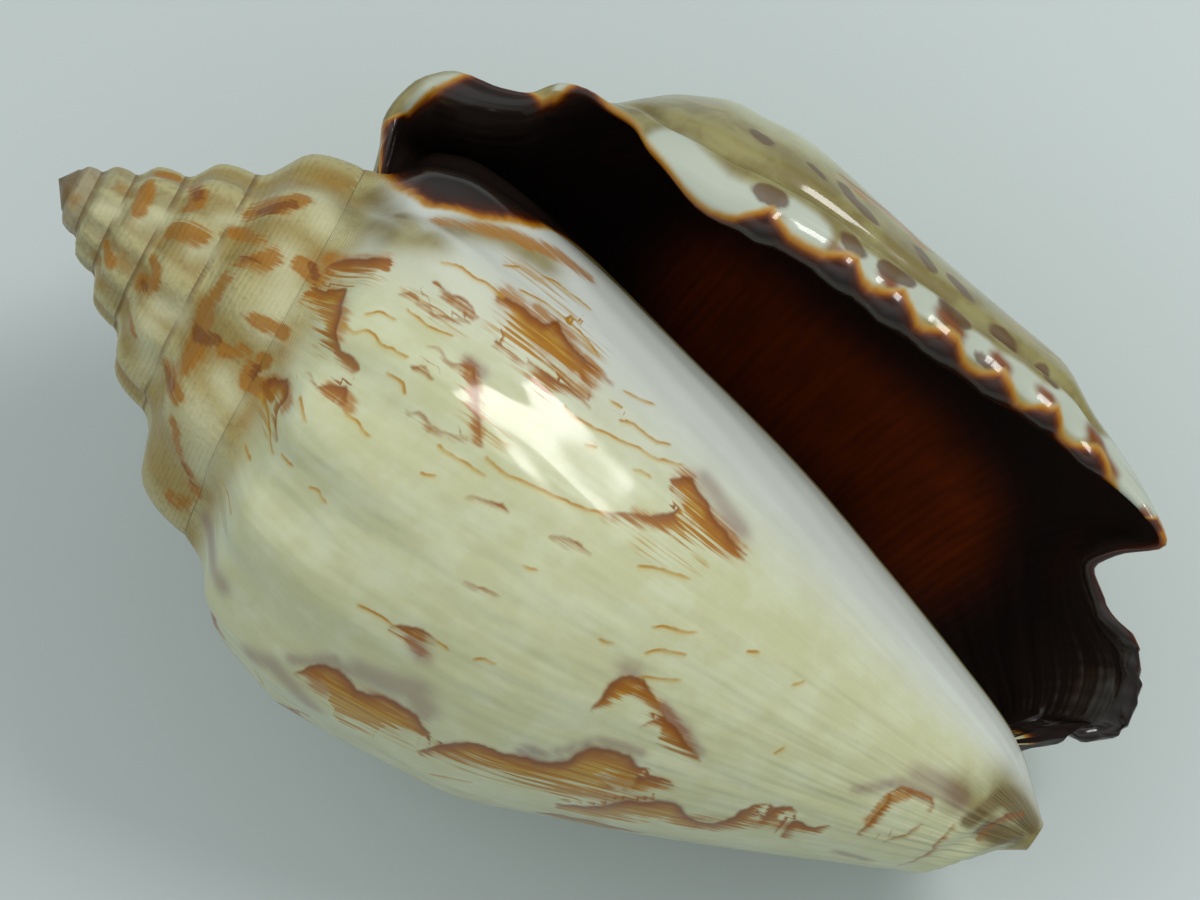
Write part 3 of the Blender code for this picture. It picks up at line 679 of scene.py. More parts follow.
def relief(t, s):
    """Low growth folds across the last whorl, the tip's grooves and the lip's crease, in mm."""
    s = np.asarray(s, float)
    size = 1.0 - 0.75 * blend(0.2, 0.9, s)
    fold = size * (0.030 * np.sin(FULL_TURN * (11.0 * t + 1.9 * s + 0.3 * np.sin(7.0 * s)))
                   + 0.022 * np.sin(FULL_TURN * (33.0 * t - 2.3 * s + 0.5 * np.sin(5.0 * s)))
                   + 0.035 * np.sin(FULL_TURN * (5.0 * t + 3.2 * s) + 2.0 * np.sin(4.0 * s)))
    fold = fold - FOLD_DROP
    front = blend(-0.92, -0.80, t) * (1.0 - blend(-0.5, -0.4, t))
    groove = GROOVE_DEPTH * np.sin(FULL_TURN * (21.0 * s + 5.0 * t)) * blend(0.925, 0.96, s) * front
    ends = blend(0.0, 0.10, s) * (1.0 - blend(0.985, 1.0, s))
    times = blend(-1.0, -0.96, t) * (1.0 - blend(-0.08, -0.02, t))
    crease = np.exp(-((t - CREASE_TURN) / CREASE_WIDTH) ** 2) * blend(0.24, 0.28, s)
    crease = crease * (1.0 - blend(0.66, 0.74, s))
    return (fold + groove) * ends * times - CREASE_DEPTH * crease


def rows(count):
    return np.linspace(0.0, 1.0, count + 1)


def spread_rows(count):
    shares, places = zip(*ROW_SPREAD)
    return np.interp(rows(count), shares, places)


def turn_steps(first, last):
    """The growth times from first to last, the same in every turn, closer on the facing side."""
    facing = np.linspace(SEEN_FROM, 1.0 + SEEN_TO, SEEN_STEPS, endpoint=False) % 1.0
    behind = np.linspace(SEEN_TO, SEEN_FROM, HIDDEN_STEPS, endpoint=False)
    curl = np.linspace(LIP_FROM, 1.0, LIP_STEPS, endpoint=False)
    shares = sorted({round(share, 4) for share in (0.0, *facing, *behind, *curl)})
    whole = range(math.floor(first) - 1, math.ceil(last) + 1)
    times = [turn + share for turn in whole for share in shares]
    inside = [t for t in times if first + TIME_SNAP < t < last - TIME_SNAP]
    return [first] + inside + [last]


def band_column(t):
    """The part of an early whorl that the next whorl leaves bare: time, shares and points."""
    x = suture_x(t) + (suture_x(t + 1.0) - suture_x(t)) * rows(BAND_ROWS)
    return t, (x - suture_x(t)) / (front_x(t) - suture_x(t)), place(t, x, radius(t, x))


def straightened(column):
    """The very first growth line runs straight, as it ends on the blunt apex."""
    t, shares, points = column
    return t, shares, np.linspace(points[0], points[-1], len(points))


def parietal_x(t):
    """The part of the whorl before that faces the hollow."""
    seat = profile_x(t + 1.0, hollow_shares(t + 1.0, np.array([0.0, 1.0])))
    return seat[0] + (seat[1] - seat[0]) * rows(PARIETAL_ROWS)


def parietal_column(t):
    x = parietal_x(t)
    return t, rows(PARIETAL_ROWS), place(t, x, radius(t, x))


def tip_column(t):
    x = front_x(t + 1.0) + (SHELL_END_X - front_x(t + 1.0)) * rows(TIP_ROWS)
    return t, 0.95 + 0.05 * rows(TIP_ROWS), place(t, x, radius(t, x))


def body_columns():
    """The last whorl's outer face; it starts on the growth line that runs under the lip."""
    face = parietal_x(-1.0)
    seam = [suture_x(-1.0) + (suture_x(0.0) - suture_x(-1.0)) * rows(BAND_ROWS),
            suture_x(0.0) + (face[0] - suture_x(0.0)) * rows(RIM_ROWS),
            face,
            face[-1] + (front_x(0.0) - face[-1]) * rows(RIM_ROWS),
            front_x(0.0) + (SHELL_END_X - front_x(0.0)) * rows(TIP_ROWS)]
    first = np.concatenate([seam[0]] + [part[1:] for part in seam[1:]])
    top = suture_x(-1.0)
    first_share = ((first - top) / (front_x(-1.0) - top)) ** (1 / PROFILE_POWER)
    even = spread_rows(len(first) - 1)
    columns = []
    for t in turn_steps(-1.0, 0.0):
        share = first_share + (even - first_share) * blend(-1.0, -0.8, t)
        points = sheet(t, share)
        if t > -1.0:
            points = points + normals(t, share) * relief(t, share)[:, None]
        columns.append((t, share, points))
    return columns


def hollow_column(t, count):
    """The hollow's outer wall at time t, with its ends seated on the whorl before."""
    share = hollow_shares(t, spread_rows(count))
    outer = sheet(t, share)
    inner = outer - normals(t, share) * thickness(t, share)[:, None]
    reach = np.hypot(inner[:, 1], inner[:, 2])
    least = radius(t - 1.0, inner[:, 0]) + CLEARANCE
    inner[:, 1:] *= np.maximum(least / reach, 1.0)[:, None]
    seat = profile_x(t, share[[0, -1]])
    inner[[0, -1]] = place(t, seat, radius(t - 1.0, seat))
    return t, share, inner


def rim_columns(outer, inner):
    """Round the lip's edge over from its outer face to its inner face."""
    middle = (outer[2] + inner[2]) / 2.0
    out = (outer[2] - inner[2]) / 2.0
    ahead = np.cross(np.gradient(middle, axis=0), out)
    ahead *= (np.linalg.norm(out, axis=1) / np.linalg.norm(ahead, axis=1))[:, None]
    columns = []
    seats = [(suture_x(0.0), parietal_x(-1.0)[0]), (front_x(0.0), parietal_x(-1.0)[-1])]
    for step in rows(RIM_ROWS):
        turn = math.pi * (0.5 - step)
        column = middle + out * math.sin(turn) + ahead * math.cos(turn)
        for row, (start, end) in zip((0, -1), seats):
            x = start + (end - start) * step
            column[row] = place(-1.0, x, radius(-1.0, x))
        columns.append((0.0, outer[1] + (inner[1] - outer[1]) * step, column))
    return columns


def inward_of(columns, start):
    """How far each point lies from the lip's edge, measured back from the last column."""
    points = np.array([column[2] for column in columns])
    steps = np.linalg.norm(np.diff(points, axis=0), axis=2)
    back = np.cumsum(steps[::-1], axis=0)[::-1]
    return np.vstack([back, np.zeros((1, points.shape[1]))]) + start


# The faces of the shell, and what is noted at each point: growth time, share of the profile, face
# and how far it lies inward of the lip's edge, in millimetres
SPIRE, BODY, PARIETAL, TIP, HOLLOW, RIM = range(6)
GROWN = ("turn", "share", "face", "inward")


def grow(bm, face, columns, inward=None):
    """Lay a grid of quads through the columns, and note on it where each point was grown."""
    layers = {name: bm.verts.layers.float[name] for name in GROWN}
    growth = bm.loops.layers.uv["growth"]
    count = len(columns[0][2])
    grid = bmesh.ops.create_grid(bm, x_segments=count - 1, y_segments=len(columns) - 1, size=1.0)
    verts = grid["verts"]
    for number, (t, shares, points) in enumerate(columns):
        line = verts[number * count:(number + 1) * count]
        for row, (vert, point, share) in enumerate(zip(line, points, shares)):
            vert.co = point
            vert[layers["turn"]] = t
            vert[layers["share"]] = share
            vert[layers["face"]] = face
            if inward is not None:
                vert[layers["inward"]] = inward[number][row]
    for quad in {quad for vert in verts for quad in vert.link_faces}:
        for loop in quad.loops:
            loop[growth].uv = (loop.vert[layers["turn"]], loop.vert[layers["share"]])
    return [verts[number * count:(number + 1) * count] for number in range(len(columns))]


def thin_out(bm, lines, keep_from):
    """Take out every second row of a grid up to the column keep_from, where no one looks closely."""
    edges = []
    for line, following in zip(lines[:keep_from], lines[1:keep_from + 1]):
        for vert, onward in zip(line[1::2], following[1::2]):
            edges.append(bm.edges.get((vert, onward)))
    bmesh.ops.dissolve_edges(bm, edges=edges, use_verts=True)


def close_holes(bm):
    """Fill the rings at the front tip and at the end of the hollow, and round off the apex."""
    edges = [edge for edge in bm.edges if edge.is_boundary]
    caps = bmesh.ops.holes_fill(bm, edges=edges, sides=0)["faces"]
    apex = min(caps, key=lambda face: face.calc_center_median().x)
    centre = bmesh.ops.poke(bm, faces=[apex])["verts"][0]
    centre.co = (APEX_X, 0.0, 0.0)


def resting_turn():
    down = Vector(REST_DOWN).normalized()
    ahead = (Vector((1.0, 0.0, 0.0)) - down * down.x).normalized()
    return Matrix((ahead, ahead.cross(down), -down))


def laid(vector):
    """A direction of the shell's own frame in the frame of the part."""
    return resting_turn() @ Vector(vector)


def lay_down(bm):
    """Turn the shell onto its back and plane the small flat that it rests on."""
    bmesh.ops.rotate(bm, cent=(0.0, 0.0, 0.0), matrix=resting_turn(), verts=bm.verts)
    level = -REST_HEIGHT
    cut = bmesh.ops.bisect_plane(bm, geom=bm.verts[:] + bm.edges[:] + bm.faces[:], dist=FLAT_SNAP,
                                 plane_co=(0.0, 0.0, level), plane_no=(0.0, 0.0, 1.0),
                                 clear_inner=True)["geom_cut"]
    for item in cut:
        if isinstance(item, bmesh.types.BMVert):
            item.co.z = level
    bmesh.ops.contextual_create(bm, geom=[e for e in bm.edges if e.is_boundary])


def build_shell():
    """The whole closed shell, lying as the part does, in metres."""
    bm = bmesh.new()
    for name in GROWN:
        bm.verts.layers.float.new(name)
    bm.loops.layers.uv.new("growth")
    bands = [band_column(t) for t in turn_steps(EARLY_TURN, -1.0)]
    bands[0] = straightened(bands[0])
    body = body_columns()
    hollow = [hollow_column(t, len(body[-1][1]) - 1) for t in turn_steps(-CAVITY_TURNS, 0.0)]
    rim = rim_columns(body[-1], hollow[-1])
    across = inward_of(rim, 0.0)
    half = across[0] / 2.0
    grow(bm, SPIRE, bands)
    grow(bm, BODY, body, -inward_of(body, half))
    steps = turn_steps(-1.0 - CAVITY_TURNS, -1.0)
    lines = grow(bm, PARIETAL, [parietal_column(t) for t in steps])
    thin_out(bm, lines, sum(t < -1.0 - PLAIN_TURNS for t in steps))
    grow(bm, TIP, [tip_column(t) for t in turn_steps(-2.0, -1.0)])
    lines = grow(bm, HOLLOW, hollow, inward_of(hollow, half))
    thin_out(bm, lines, sum(column[0] < -PLAIN_TURNS for column in hollow))
    grow(bm, RIM, rim, half - across)
    bmesh.ops.remove_doubles(bm, verts=bm.verts, dist=WELD)
    close_holes(bm)
    lay_down(bm)
    bmesh.ops.translate(bm, vec=SHIFT, verts=bm.verts)
    bmesh.ops.recalc_face_normals(bm, faces=bm.faces)
    bmesh.ops.scale(bm, vec=(MM, MM, MM), verts=bm.verts)
    bm.normal_update()
    return bm


def picture_axes():
    """The camera's directions: right, up and back."""
    x, y = CAMERA_RIGHT
    return laid((x, y, 0.0)), laid((-y, x, 0.0)), laid((0.0, 0.0, 1.0))


def camera_place():
    return (laid(CAMERA_PLACE) + Vector(SHIFT)) * MM


def in_picture(tree, x, y):
    """Where the camera's sight through a place in its frame meets the shell."""
    right, up, back = picture_axes()
    reach = CAMERA_PLACE[2] * PIXELS_PER_MM
    sight = right * (x - PICTURE_WIDTH / 2) - up * (y - PICTURE_HEIGHT / 2) - back * reach
    hit = tree.ray_cast(camera_place(), sight.normalized())[0]
    return None if hit is None else np.array(hit) / MM


def depth_of(point):
    """How deep a mark is at a point of its line; a thin stroke has no depth."""
    return point[2] if len(point) > 2 else 0.0


def picture_line(tree, line):
    """A line in the camera's frame, laid on the shell; points that miss it are left out."""
    hits = [(in_picture(tree, point[0], point[1]), depth_of(point)) for point in line]
    found = [(hit, depth) for hit, depth in hits if hit is not None]
    return np.array([hit for hit, depth in found]), np.array([depth for hit, depth in found])


def grown_line(line):
    """A line of growth times and shares, laid on the last whorl's outer face."""
    grown = [sheet(point[0], np.array([point[1]]))[0] for point in line]
    places = np.array([laid(spot) + Vector(SHIFT) for spot in grown])
    return places, np.array([depth_of(point) for point in line])


FAR = 9.0                     # a distance beyond any that a mark reads, in millimetres
SAME = 1e-7                   # distances that differ by less than this are the same
TINY = 1e-9                   # keeps the length of a piece above nothing
RUN_ON = 1.3                  # a mark can run on to this many times its depth
EMPTY = {"inside": -FAR, "behind": -FAR, "depth": 0.0, "beside": FAR, "line": 0.0}


class Reading:
    """What each point reads from the mark that it lies deepest in or nearest to, in millimetres."""

    def __init__(self, points, outward):
        self.points = points
        self.outward = outward
        self.fields = {name: np.full(len(points), empty) for name, empty in EMPTY.items()}
        self.count = 0

    def add(self, places, depths):
        """Read one line, and keep what it says where its mark is deeper than those before it."""
        self.count += 1
        if len(places) < 2:
            return
        middle = (places.min(axis=0) + places.max(axis=0)) / 2.0
        span = np.linalg.norm(places - middle, axis=1).max() + FAR
        index = np.flatnonzero(np.linalg.norm(self.points - middle, axis=1) < span)
        away = np.full(len(index), np.inf)
        mark = {name: np.zeros(len(index)) for name in ("behind", "depth", "beside")}
        for number in range(len(places) - 1):
            off, side, piece = self.read_piece(index, places, depths, number)
            tie = (np.abs(off - away) <= SAME) & (np.abs(side) > np.abs(mark["behind"]))
            take = (off < away - SAME) | tie
            away[take] = off[take]
            for name, values in piece.items():
                mark[name][take] = values[take]
        inside = np.minimum(mark["behind"], RUN_ON * mark["depth"] - mark["behind"])
        mark["inside"] = np.maximum(np.minimum(inside, -mark["beside"]), -away)
        mark["line"] = np.full(len(index), self.count)
        better = mark["inside"] > self.fields["inside"][index]
        for name, values in mark.items():
            self.fields[name][index[better]] = values[better]

    def read_piece(self, index, places, depths, number):
        """How far off and to which side of one straight piece the points lie, and what they read."""
        start, end = places[number], places[number + 1]
        length = np.linalg.norm(end - start) + TINY
        ahead = (end - start) / length
        offset = self.points[index] - start
        along = offset @ ahead
        side = -np.einsum("ij,ij->i", np.cross(ahead, offset), self.outward[index])
        clamped = np.clip(along, 0.0, length)
        off = np.linalg.norm(offset - clamped[:, None] * ahead, axis=1)
        before = -along if number == 0 else np.zeros(len(index))
        past = along - length if number == len(places) - 2 else np.zeros(len(index))
        over = np.maximum(np.maximum(before, past), 0.0)
        behind = np.where(over > 0.0, side, np.where(side < 0.0, -off, off))
        depth = depths[number] + (depths[number + 1] - depths[number]) * clamped / length
        return off, side, {"behind": behind, "depth": depth, "beside": over}


# The marks of the back: bands round the last whorl, each given by its middle and width in shares of
# the profile, the times between which marks are drawn there, and the number of thin strokes
HIDDEN_BANDS = ((0.13, 0.08), (0.33, 0.11), (0.50, 0.10), (0.66, 0.10), (0.80, 0.08))
HIDDEN_FROM = -0.56
HIDDEN_BLOTCHES_TO = -0.06
HIDDEN_STROKES_TO = -0.05
HIDDEN_STROKES = 140
HIDDEN_SEED = 11


def hidden_blotch(draw, t, middle, width):
    """A blotch across a band, deepest in its middle: times, shares and depths."""
    share = middle + draw.uniform(-0.02, 0.02)
    line = []
    steps = draw.randint(5, 8)
    for number in range(steps):
        f = number / (steps - 1)
        peak = 1.0 - abs(2.0 * f - 1.0)
        lean = draw.uniform(-0.006, 0.006) - 0.012 * peak
        depth = draw.uniform(0.4, 3.4) * (0.2 + peak)
        line.append((t + lean, share + width * (f - 0.5), depth))
    return line


def hidden_stroke(draw):
    """A thin stroke, bent a little in its middle: times and shares."""
    t = draw.uniform(HIDDEN_FROM, HIDDEN_STROKES_TO)
    share = draw.uniform(0.10, 0.88)
    length = draw.uniform(0.02, 0.07)
    lean = draw.uniform(-0.006, 0.006)
    bend = draw.uniform(-0.003, 0.003)
    return [(t, share), (t + lean + bend, share + length / 2.0), (t + lean, share + length)]


def hidden_marks():
    """Blotches and strokes for the back."""
    draw = random.Random(HIDDEN_SEED)
    blotches = []
    for middle, width in HIDDEN_BANDS:
        t = HIDDEN_FROM + draw.uniform(0.0, 0.06)
        while t < HIDDEN_BLOTCHES_TO:
            blotches.append(hidden_blotch(draw, t, middle, width))
            t += draw.uniform(0.055, 0.10)
    strokes = [hidden_stroke(draw) for number in range(HIDDEN_STROKES)]
    return blotches, strokes


def white_reach(s):
    """How far the lip's white edge reaches into the aperture at share s, in millimetres."""
    x = lip_x(s)
    reach = smooth_curve(WHITE_REACH, s)
    for middle, half in LIP_GAPS:
        reach = reach - GAP_DEPTH * np.exp(-((x - middle) / (GAP_SPREAD * half)) ** 2)
    return reach


def soft_line(points, tree, stains):
    """The strength of soft stains along lines on the shell, 1 in their middle."""
    strength = np.zeros(len(points))
    for width, line in stains:
        places = picture_line(tree, line)[0]
        if len(places) < 2:
            continue
        nearest = np.full(len(points), FAR)
        for start, end in zip(places, places[1:]):
            length = np.linalg.norm(end - start) + TINY
            ahead = (end - start) / length
            along = np.clip((points - start) @ ahead, 0.0, length)
            off = np.linalg.norm(points - start - along[:, None] * ahead, axis=1)
            nearest = np.minimum(nearest, off)
        strength = np.maximum(strength, np.exp(-(nearest / width) ** 2))
    return strength


def dark_zone(tree, points, outward, grown):
    """How far each point lies inside the aperture's dark part, in millimetres."""
    edge = Reading(points, outward)
    x = np.linspace(PAD_SEAM_X[0], PAD_SEAM_X[1], PAD_SEAM_STEPS)
    seam = place(PAD_SEAM_TURN, x, radius(PAD_SEAM_TURN, x))
    seam = np.array([laid(point) + Vector(SHIFT) for point in seam])
    line = np.vstack([picture_line(tree, PAD_LINE)[0], seam])
    edge.add(line, np.zeros(len(line)))
    kind = np.round(grown["face"])
    unread = np.where(kind == PARIETAL, FAR, -FAR)
    pad_dark = np.where(edge.fields["inside"] > -FAR, -edge.fields["behind"], unread)
    pad_dark[(kind == SPIRE) & (points[:, 0] < line[:, 0].min() - PAD_MARGIN)] = -FAR
    lip_dark = grown["inward"] - white_reach(grown["share"])
    by_lip = (kind >= HOLLOW) | ((kind == BODY) & (grown["turn"] > PAD_LAST_TURN))
    return np.clip(np.where(by_lip, lip_dark, pad_dark), -FAR, FAR)


# The names under which the material reads what Reading works out
BLOTCH_NAMES = {"lead": "behind", "depth": "depth", "beside": "beside", "inside": "inside",
                "line": "line"}
STROKE_NAMES = {"hair": "behind", "hair_beside": "beside", "hair_inside": "inside",
                "hair_line": "line"}


def over_all(count, where, some, empty):
    """Values at some of the points, in a field over all of them."""
    field = np.full(count, empty)
    field[where] = some
    return field


def read_marks(tree, points, outward, wears):
    """How the points that wear marks lie to the blotches and to the thin strokes."""
    blotches, strokes = hidden_marks()
    kinds = ((BLOTCH_NAMES, BLOTCHES, blotches), (STROKE_NAMES, HAIRLINES, strokes))
    values = {}
    for names, seen, hidden in kinds:
        reading = Reading(points[wears], outward[wears])
        for line in seen:
            reading.add(*picture_line(tree, line))
        for line in hidden:
            reading.add(*grown_line(line))
        for name, field in names.items():
            values[name] = over_all(len(points), wears, reading.fields[field], EMPTY[field])
    return values


def read_zones(grown):
    """Where the spire, its knobs and the lip's outer band lie."""
    kind = np.round(grown["face"])
    near_suture = 1.0 - blend(0.03, 0.10, grown["share"])
    body_only = np.where(grown["face"] < BODY + 0.5, near_suture, 0.0)
    spire = np.where(grown["face"] < SPIRE + 0.5, 1.0, body_only)
    knob = np.array([knob_wave(t) for t in grown["turn"]]) * blend(-5.4, -4.6, grown["turn"])
    lip = np.where(kind == BODY, -grown["inward"], 0.0)
    lip_edge = np.where(kind == SPIRE, 0.0, 1.0 - blend(5.0, 12.0, lip))
    return {"spire": spire, "knob": knob * spire, "lip": lip, "lip_edge": lip_edge}


def paint_attributes(bm, mesh):
    """Work out, for each point of the shell, how it lies to the marks, stains and the dark zone."""
    tree = BVHTree.FromBMesh(bm)
    count = len(mesh.vertices)
    points = np.zeros(count * 3)
    mesh.vertices.foreach_get("co", points)
    points = points.reshape(-1, 3) / MM
    outward = np.array([vert.normal for vert in bm.verts])
    grown = {name: np.zeros(count) for name in GROWN}
    for name, field in grown.items():
        mesh.attributes[name].data.foreach_get("value", field)
    outside = (grown["face"] < BODY + 0.5) | (np.abs(grown["face"] - TIP) < 0.5)
    stained = np.flatnonzero(outside | (grown["face"] > RIM - 0.5))
    values = read_marks(tree, points, outward, np.flatnonzero(outside))
    for name, stains in STAINS.items():
        strength = soft_line(points[stained], tree, stains)
        values["stain_" + name] = over_all(count, stained, strength, 0.0)
    values["dark"] = dark_zone(tree, points, outward, grown)
    values["glow"] = soft_line(points, tree, GLOW)
    values.update(read_zones(grown))
    for name, field in values.items():
        attribute = mesh.attributes.new(name, "FLOAT", "POINT")
        attribute.data.foreach_set("value", field.astype(np.float32))
    for name in GROWN:
        mesh.attributes.remove(mesh.attributes[name])


def paint(red, green, blue):
    """A colour as it looks on a screen, from 0 to 255, made linear."""
    shares = [channel / 255.0 for channel in (red, green, blue)]
    linear = [((c + 0.055) / 1.055) ** 2.4 if c > 0.04045 else c / 12.92 for c in shares]
    return (*linear, 1.0)


# The last whorl's ground, and the white callus beside the aperture
CREAM = paint(186, 188, 148)
PALE_CREAM = paint(194, 198, 166)
CREAM_STREAK = paint(176, 172, 116)
CREAM_PAINTED_SHADE = paint(164, 164, 128)
# Painted shade: a darker cream laid over the last whorl near the lip
CALLUS = paint(198, 203, 202)
# Painted shade: a darker callus laid just under the lip
CALLUS_PAINTED_SHADE = paint(168, 172, 156)

# The spire, from the apex on
SPIRE_STOPS = (
    (0.0, paint(150, 140, 112)),
    (0.25, paint(152, 146, 108)),
    (0.75, paint(146, 126, 68)),
    (1.0, paint(154, 136, 76)),
)
SPIRE_CLOUD = paint(142, 122, 70)
SPIRE_GOLD = paint(146, 104, 24)
SPIRE_KNOB = paint(174, 168, 122)
SPIRE_GRAIN = paint(112, 92, 50)
SUTURE_BROWN = paint(96, 72, 36)

# The lip's outer band and the stains
DARK_TAN = paint(110, 96, 46)
PALE_TAN = paint(136, 128, 78)
LIP_WHITE = paint(176, 184, 170)
GAP_BROWN = paint(112, 56, 6)
PALE_STAIN = paint(186, 184, 146)
ORANGE_STAIN = paint(150, 98, 4)
BROWN_STAIN = paint(116, 62, 4)
WARM_STAIN = paint(156, 100, 6)
TIP_DARK = paint(84, 66, 34)
TIP_PALE = paint(116, 104, 68)
STREAK_STAIN = paint(166, 124, 34)
SPOT_BROWN = paint(80, 50, 30)
PURPLE_HAZE = paint(116, 80, 84)

# The blotches, from their leading edge backwards, and the thin strokes
BLOTCH_STOPS = (
    (0.0, paint(112, 58, 8)),
    (0.06, paint(132, 74, 4)),
    (0.16, paint(146, 90, 4)),
    (0.35, paint(156, 104, 6)),
    (0.80, paint(166, 120, 18)),
)
BLOTCH_GOLD = paint(176, 140, 44)
BLOTCH_SHALLOW = paint(150, 96, 4)
BLOTCH_HALO = paint(136, 100, 80)
STROKE = paint(164, 116, 8)
STROKE_HALO = paint(184, 156, 60)

# The aperture, from its edge inwards
APERTURE_STOPS = (
    (0.0, paint(184, 160, 90)),
    (0.30, paint(156, 102, 16)),
    (0.46, paint(104, 50, 8)),
    (0.62, paint(54, 22, 8)),
    (1.0, paint(30, 23, 20)),
)
APERTURE_GLOW = paint(118, 48, 14)

# Noise on the growth grid, by turns and by shares of the profile, and noise by place
STREAK_GRID = (330.0, 9.0)
WOBBLE_GRID = (40.0, 40.0)
FRINGE_GRID = (40.0, 90.0)
RIPPLE_GRID = (75.0, 9.0)
CLOUD_SCALE = 420.0
GRAIN_SCALE = 2600.0

# Fine relief: the spire's spiral threads and the grooves inside the lip, counted over the profile
THREADS = 190.0
GROOVES = 95.0
BUMP = 0.05                   # millimetres

COAT_ROUGHNESS = 0.08
COAT_IOR = 1.5
SPECULAR_LEVEL = 0.15


class Nodes:
    """Short words for the nodes of one tree."""

    def __init__(self, tree):
        self.tree = tree

    def add(self, kind, inputs, output=0, **settings):
        node = self.tree.nodes.new(kind)
        for name, value in settings.items():
            setattr(node, name, value)
        for name, value in inputs.items():
            self.put(node.inputs[name], value)
        return node.outputs[output]

    def put(self, socket, value):
        if isinstance(value, bpy.types.NodeSocket):
            self.tree.links.new(value, socket)
        else:
            socket.default_value = value

    def read(self, name):
        return self.add("ShaderNodeAttribute", {}, "Fac", attribute_name=name)

    def maths(self, operation, first, second=0.0):
        return self.add("ShaderNodeMath", {0: first, 1: second}, operation=operation)

    def scale(self, value, low, high, start, end, shape="LINEAR"):
        """Run from start at low to end at high."""
        inputs = {"Value": value, "From Min": low, "From Max": high, "To Min": start, "To Max": end}
        return self.add("ShaderNodeMapRange", inputs, interpolation_type=shape)

    def rise(self, value, low, high, start=0.0, end=1.0):
        """Run smoothly, from 0 to 1 where nothing else is said."""
        return self.scale(value, low, high, start, end, "SMOOTHSTEP")

    def fall(self, value, low, high):
        return self.rise(value, low, high, 1.0, 0.0)

    def whole(self, name):
        """1 where the number that is read is whole, and so belongs to one line only."""
        past = self.maths("FRACT", self.maths("ADD", self.read(name), 0.5))
        return self.fall(self.maths("ABSOLUTE", self.maths("SUBTRACT", past, 0.5)), 0.03, 0.20)

    def both(self, *values):
        """All values multiplied."""
        result = values[0]
        for value in values[1:]:
            result = self.maths("MULTIPLY", result, value)
        return result

    def total(self, *values):
        result = values[0]
        for value in values[1:]:
            result = self.maths("ADD", result, value)
        return result

    def sway(self, noise, width):
        """A noise as a shift to either side, by half the width at most."""
        return self.maths("MULTIPLY", self.maths("SUBTRACT", noise, 0.5), width)

    def mix(self, share, under, over):
        return self.add("ShaderNodeMix", {0: share, 6: under, 7: over}, 2, data_type="RGBA")

    def mix_number(self, share, under, over):
        return self.add("ShaderNodeMix", {0: share, 2: under, 3: over}, 0, data_type="FLOAT")

    def ramp(self, value, stops):
        node = self.tree.nodes.new("ShaderNodeValToRGB")
        elements = node.color_ramp.elements
        while len(elements) < len(stops):
            elements.new(0.5)
        for element, (position, colour) in zip(elements, stops):
            element.position = position
            element.color = colour
        self.put(node.inputs["Fac"], value)
        return node.outputs["Color"]

    def noise(self, vector, scale=1.0, detail=2.0, rough=0.5):
        inputs = {"Vector": vector, "Scale": scale, "Detail": detail, "Roughness": rough}
        return self.add("ShaderNodeTexNoise", inputs, "Fac")

    def grid_noise(self, vector, grid, detail=2.0, rough=0.5):
        """Noise on the growth grid."""
        inputs = {0: vector, 1: (grid[0], grid[1], 1.0)}
        stretched = self.add("ShaderNodeVectorMath", inputs, operation="MULTIPLY")
        return self.noise(stretched, detail=detail, rough=rough)


class ShellNodes(Nodes):
    """The nodes of the shell's material, with what several parts of it read."""

    def __init__(self, tree):
        super().__init__(tree)
        self.growth = self.add("ShaderNodeUVMap", {}, uv_map="growth")
        apart = tree.nodes.new("ShaderNodeSeparateXYZ")
        self.put(apart.inputs[0], self.growth)
        self.turn = apart.outputs["X"]
        self.share = apart.outputs["Y"]
        fine = self.grid_noise(self.growth, STREAK_GRID, rough=0.65)
        self.streaks = self.rise(fine, 0.32, 0.68)
        self.wobble = self.grid_noise(self.growth, WOBBLE_GRID)
        here = self.add("ShaderNodeTexCoord", {}, "Object")
        self.clouds = self.noise(here, CLOUD_SCALE, detail=3.0, rough=0.6)
        self.grains = self.noise(here, GRAIN_SCALE, detail=1.0, rough=0.7)
        self.spire = self.read("spire")
        self.dark = self.read("dark")
        self.past_callus = self.rise(self.turn, -0.95, -0.80)

    def stain(self, colour, name, tint, fade, cover, *broken_by):
        """Lay one kind of soft stain over a colour."""
        strength = self.both(self.read("stain_" + name), *broken_by)
        return self.mix(self.both(self.rise(strength, *fade), cover), colour, tint)

    def streaky(self, least, most):
        return self.scale(self.streaks, 0.0, 1.0, least, most)

    def cloudy(self, least, most):
        return self.scale(self.clouds, 0.3, 0.7, least, most)


def cream_ground(nodes):
    """The last whorl's ground colour and callus, with painted shade on both near the lip."""
    cream = nodes.mix(nodes.rise(nodes.clouds, 0.35, 0.7), CREAM, PALE_CREAM)
    cream = nodes.mix(nodes.both(nodes.streaks, nodes.past_callus, 0.14), cream, CREAM_STREAK)
    cream = nodes.mix(nodes.both(nodes.fall(nodes.turn, -0.93, -0.82), 0.8), cream, CALLUS)
    # Painted shade over the callus just under the lip
    under = nodes.fall(nodes.turn, -1.02, -0.95)
    cream = nodes.mix(nodes.both(under, 0.7), cream, CALLUS_PAINTED_SHADE)
    # Painted shade over the cream near the lip
    return nodes.mix(nodes.both(nodes.read("lip_edge"), 0.85), cream, CREAM_PAINTED_SHADE)


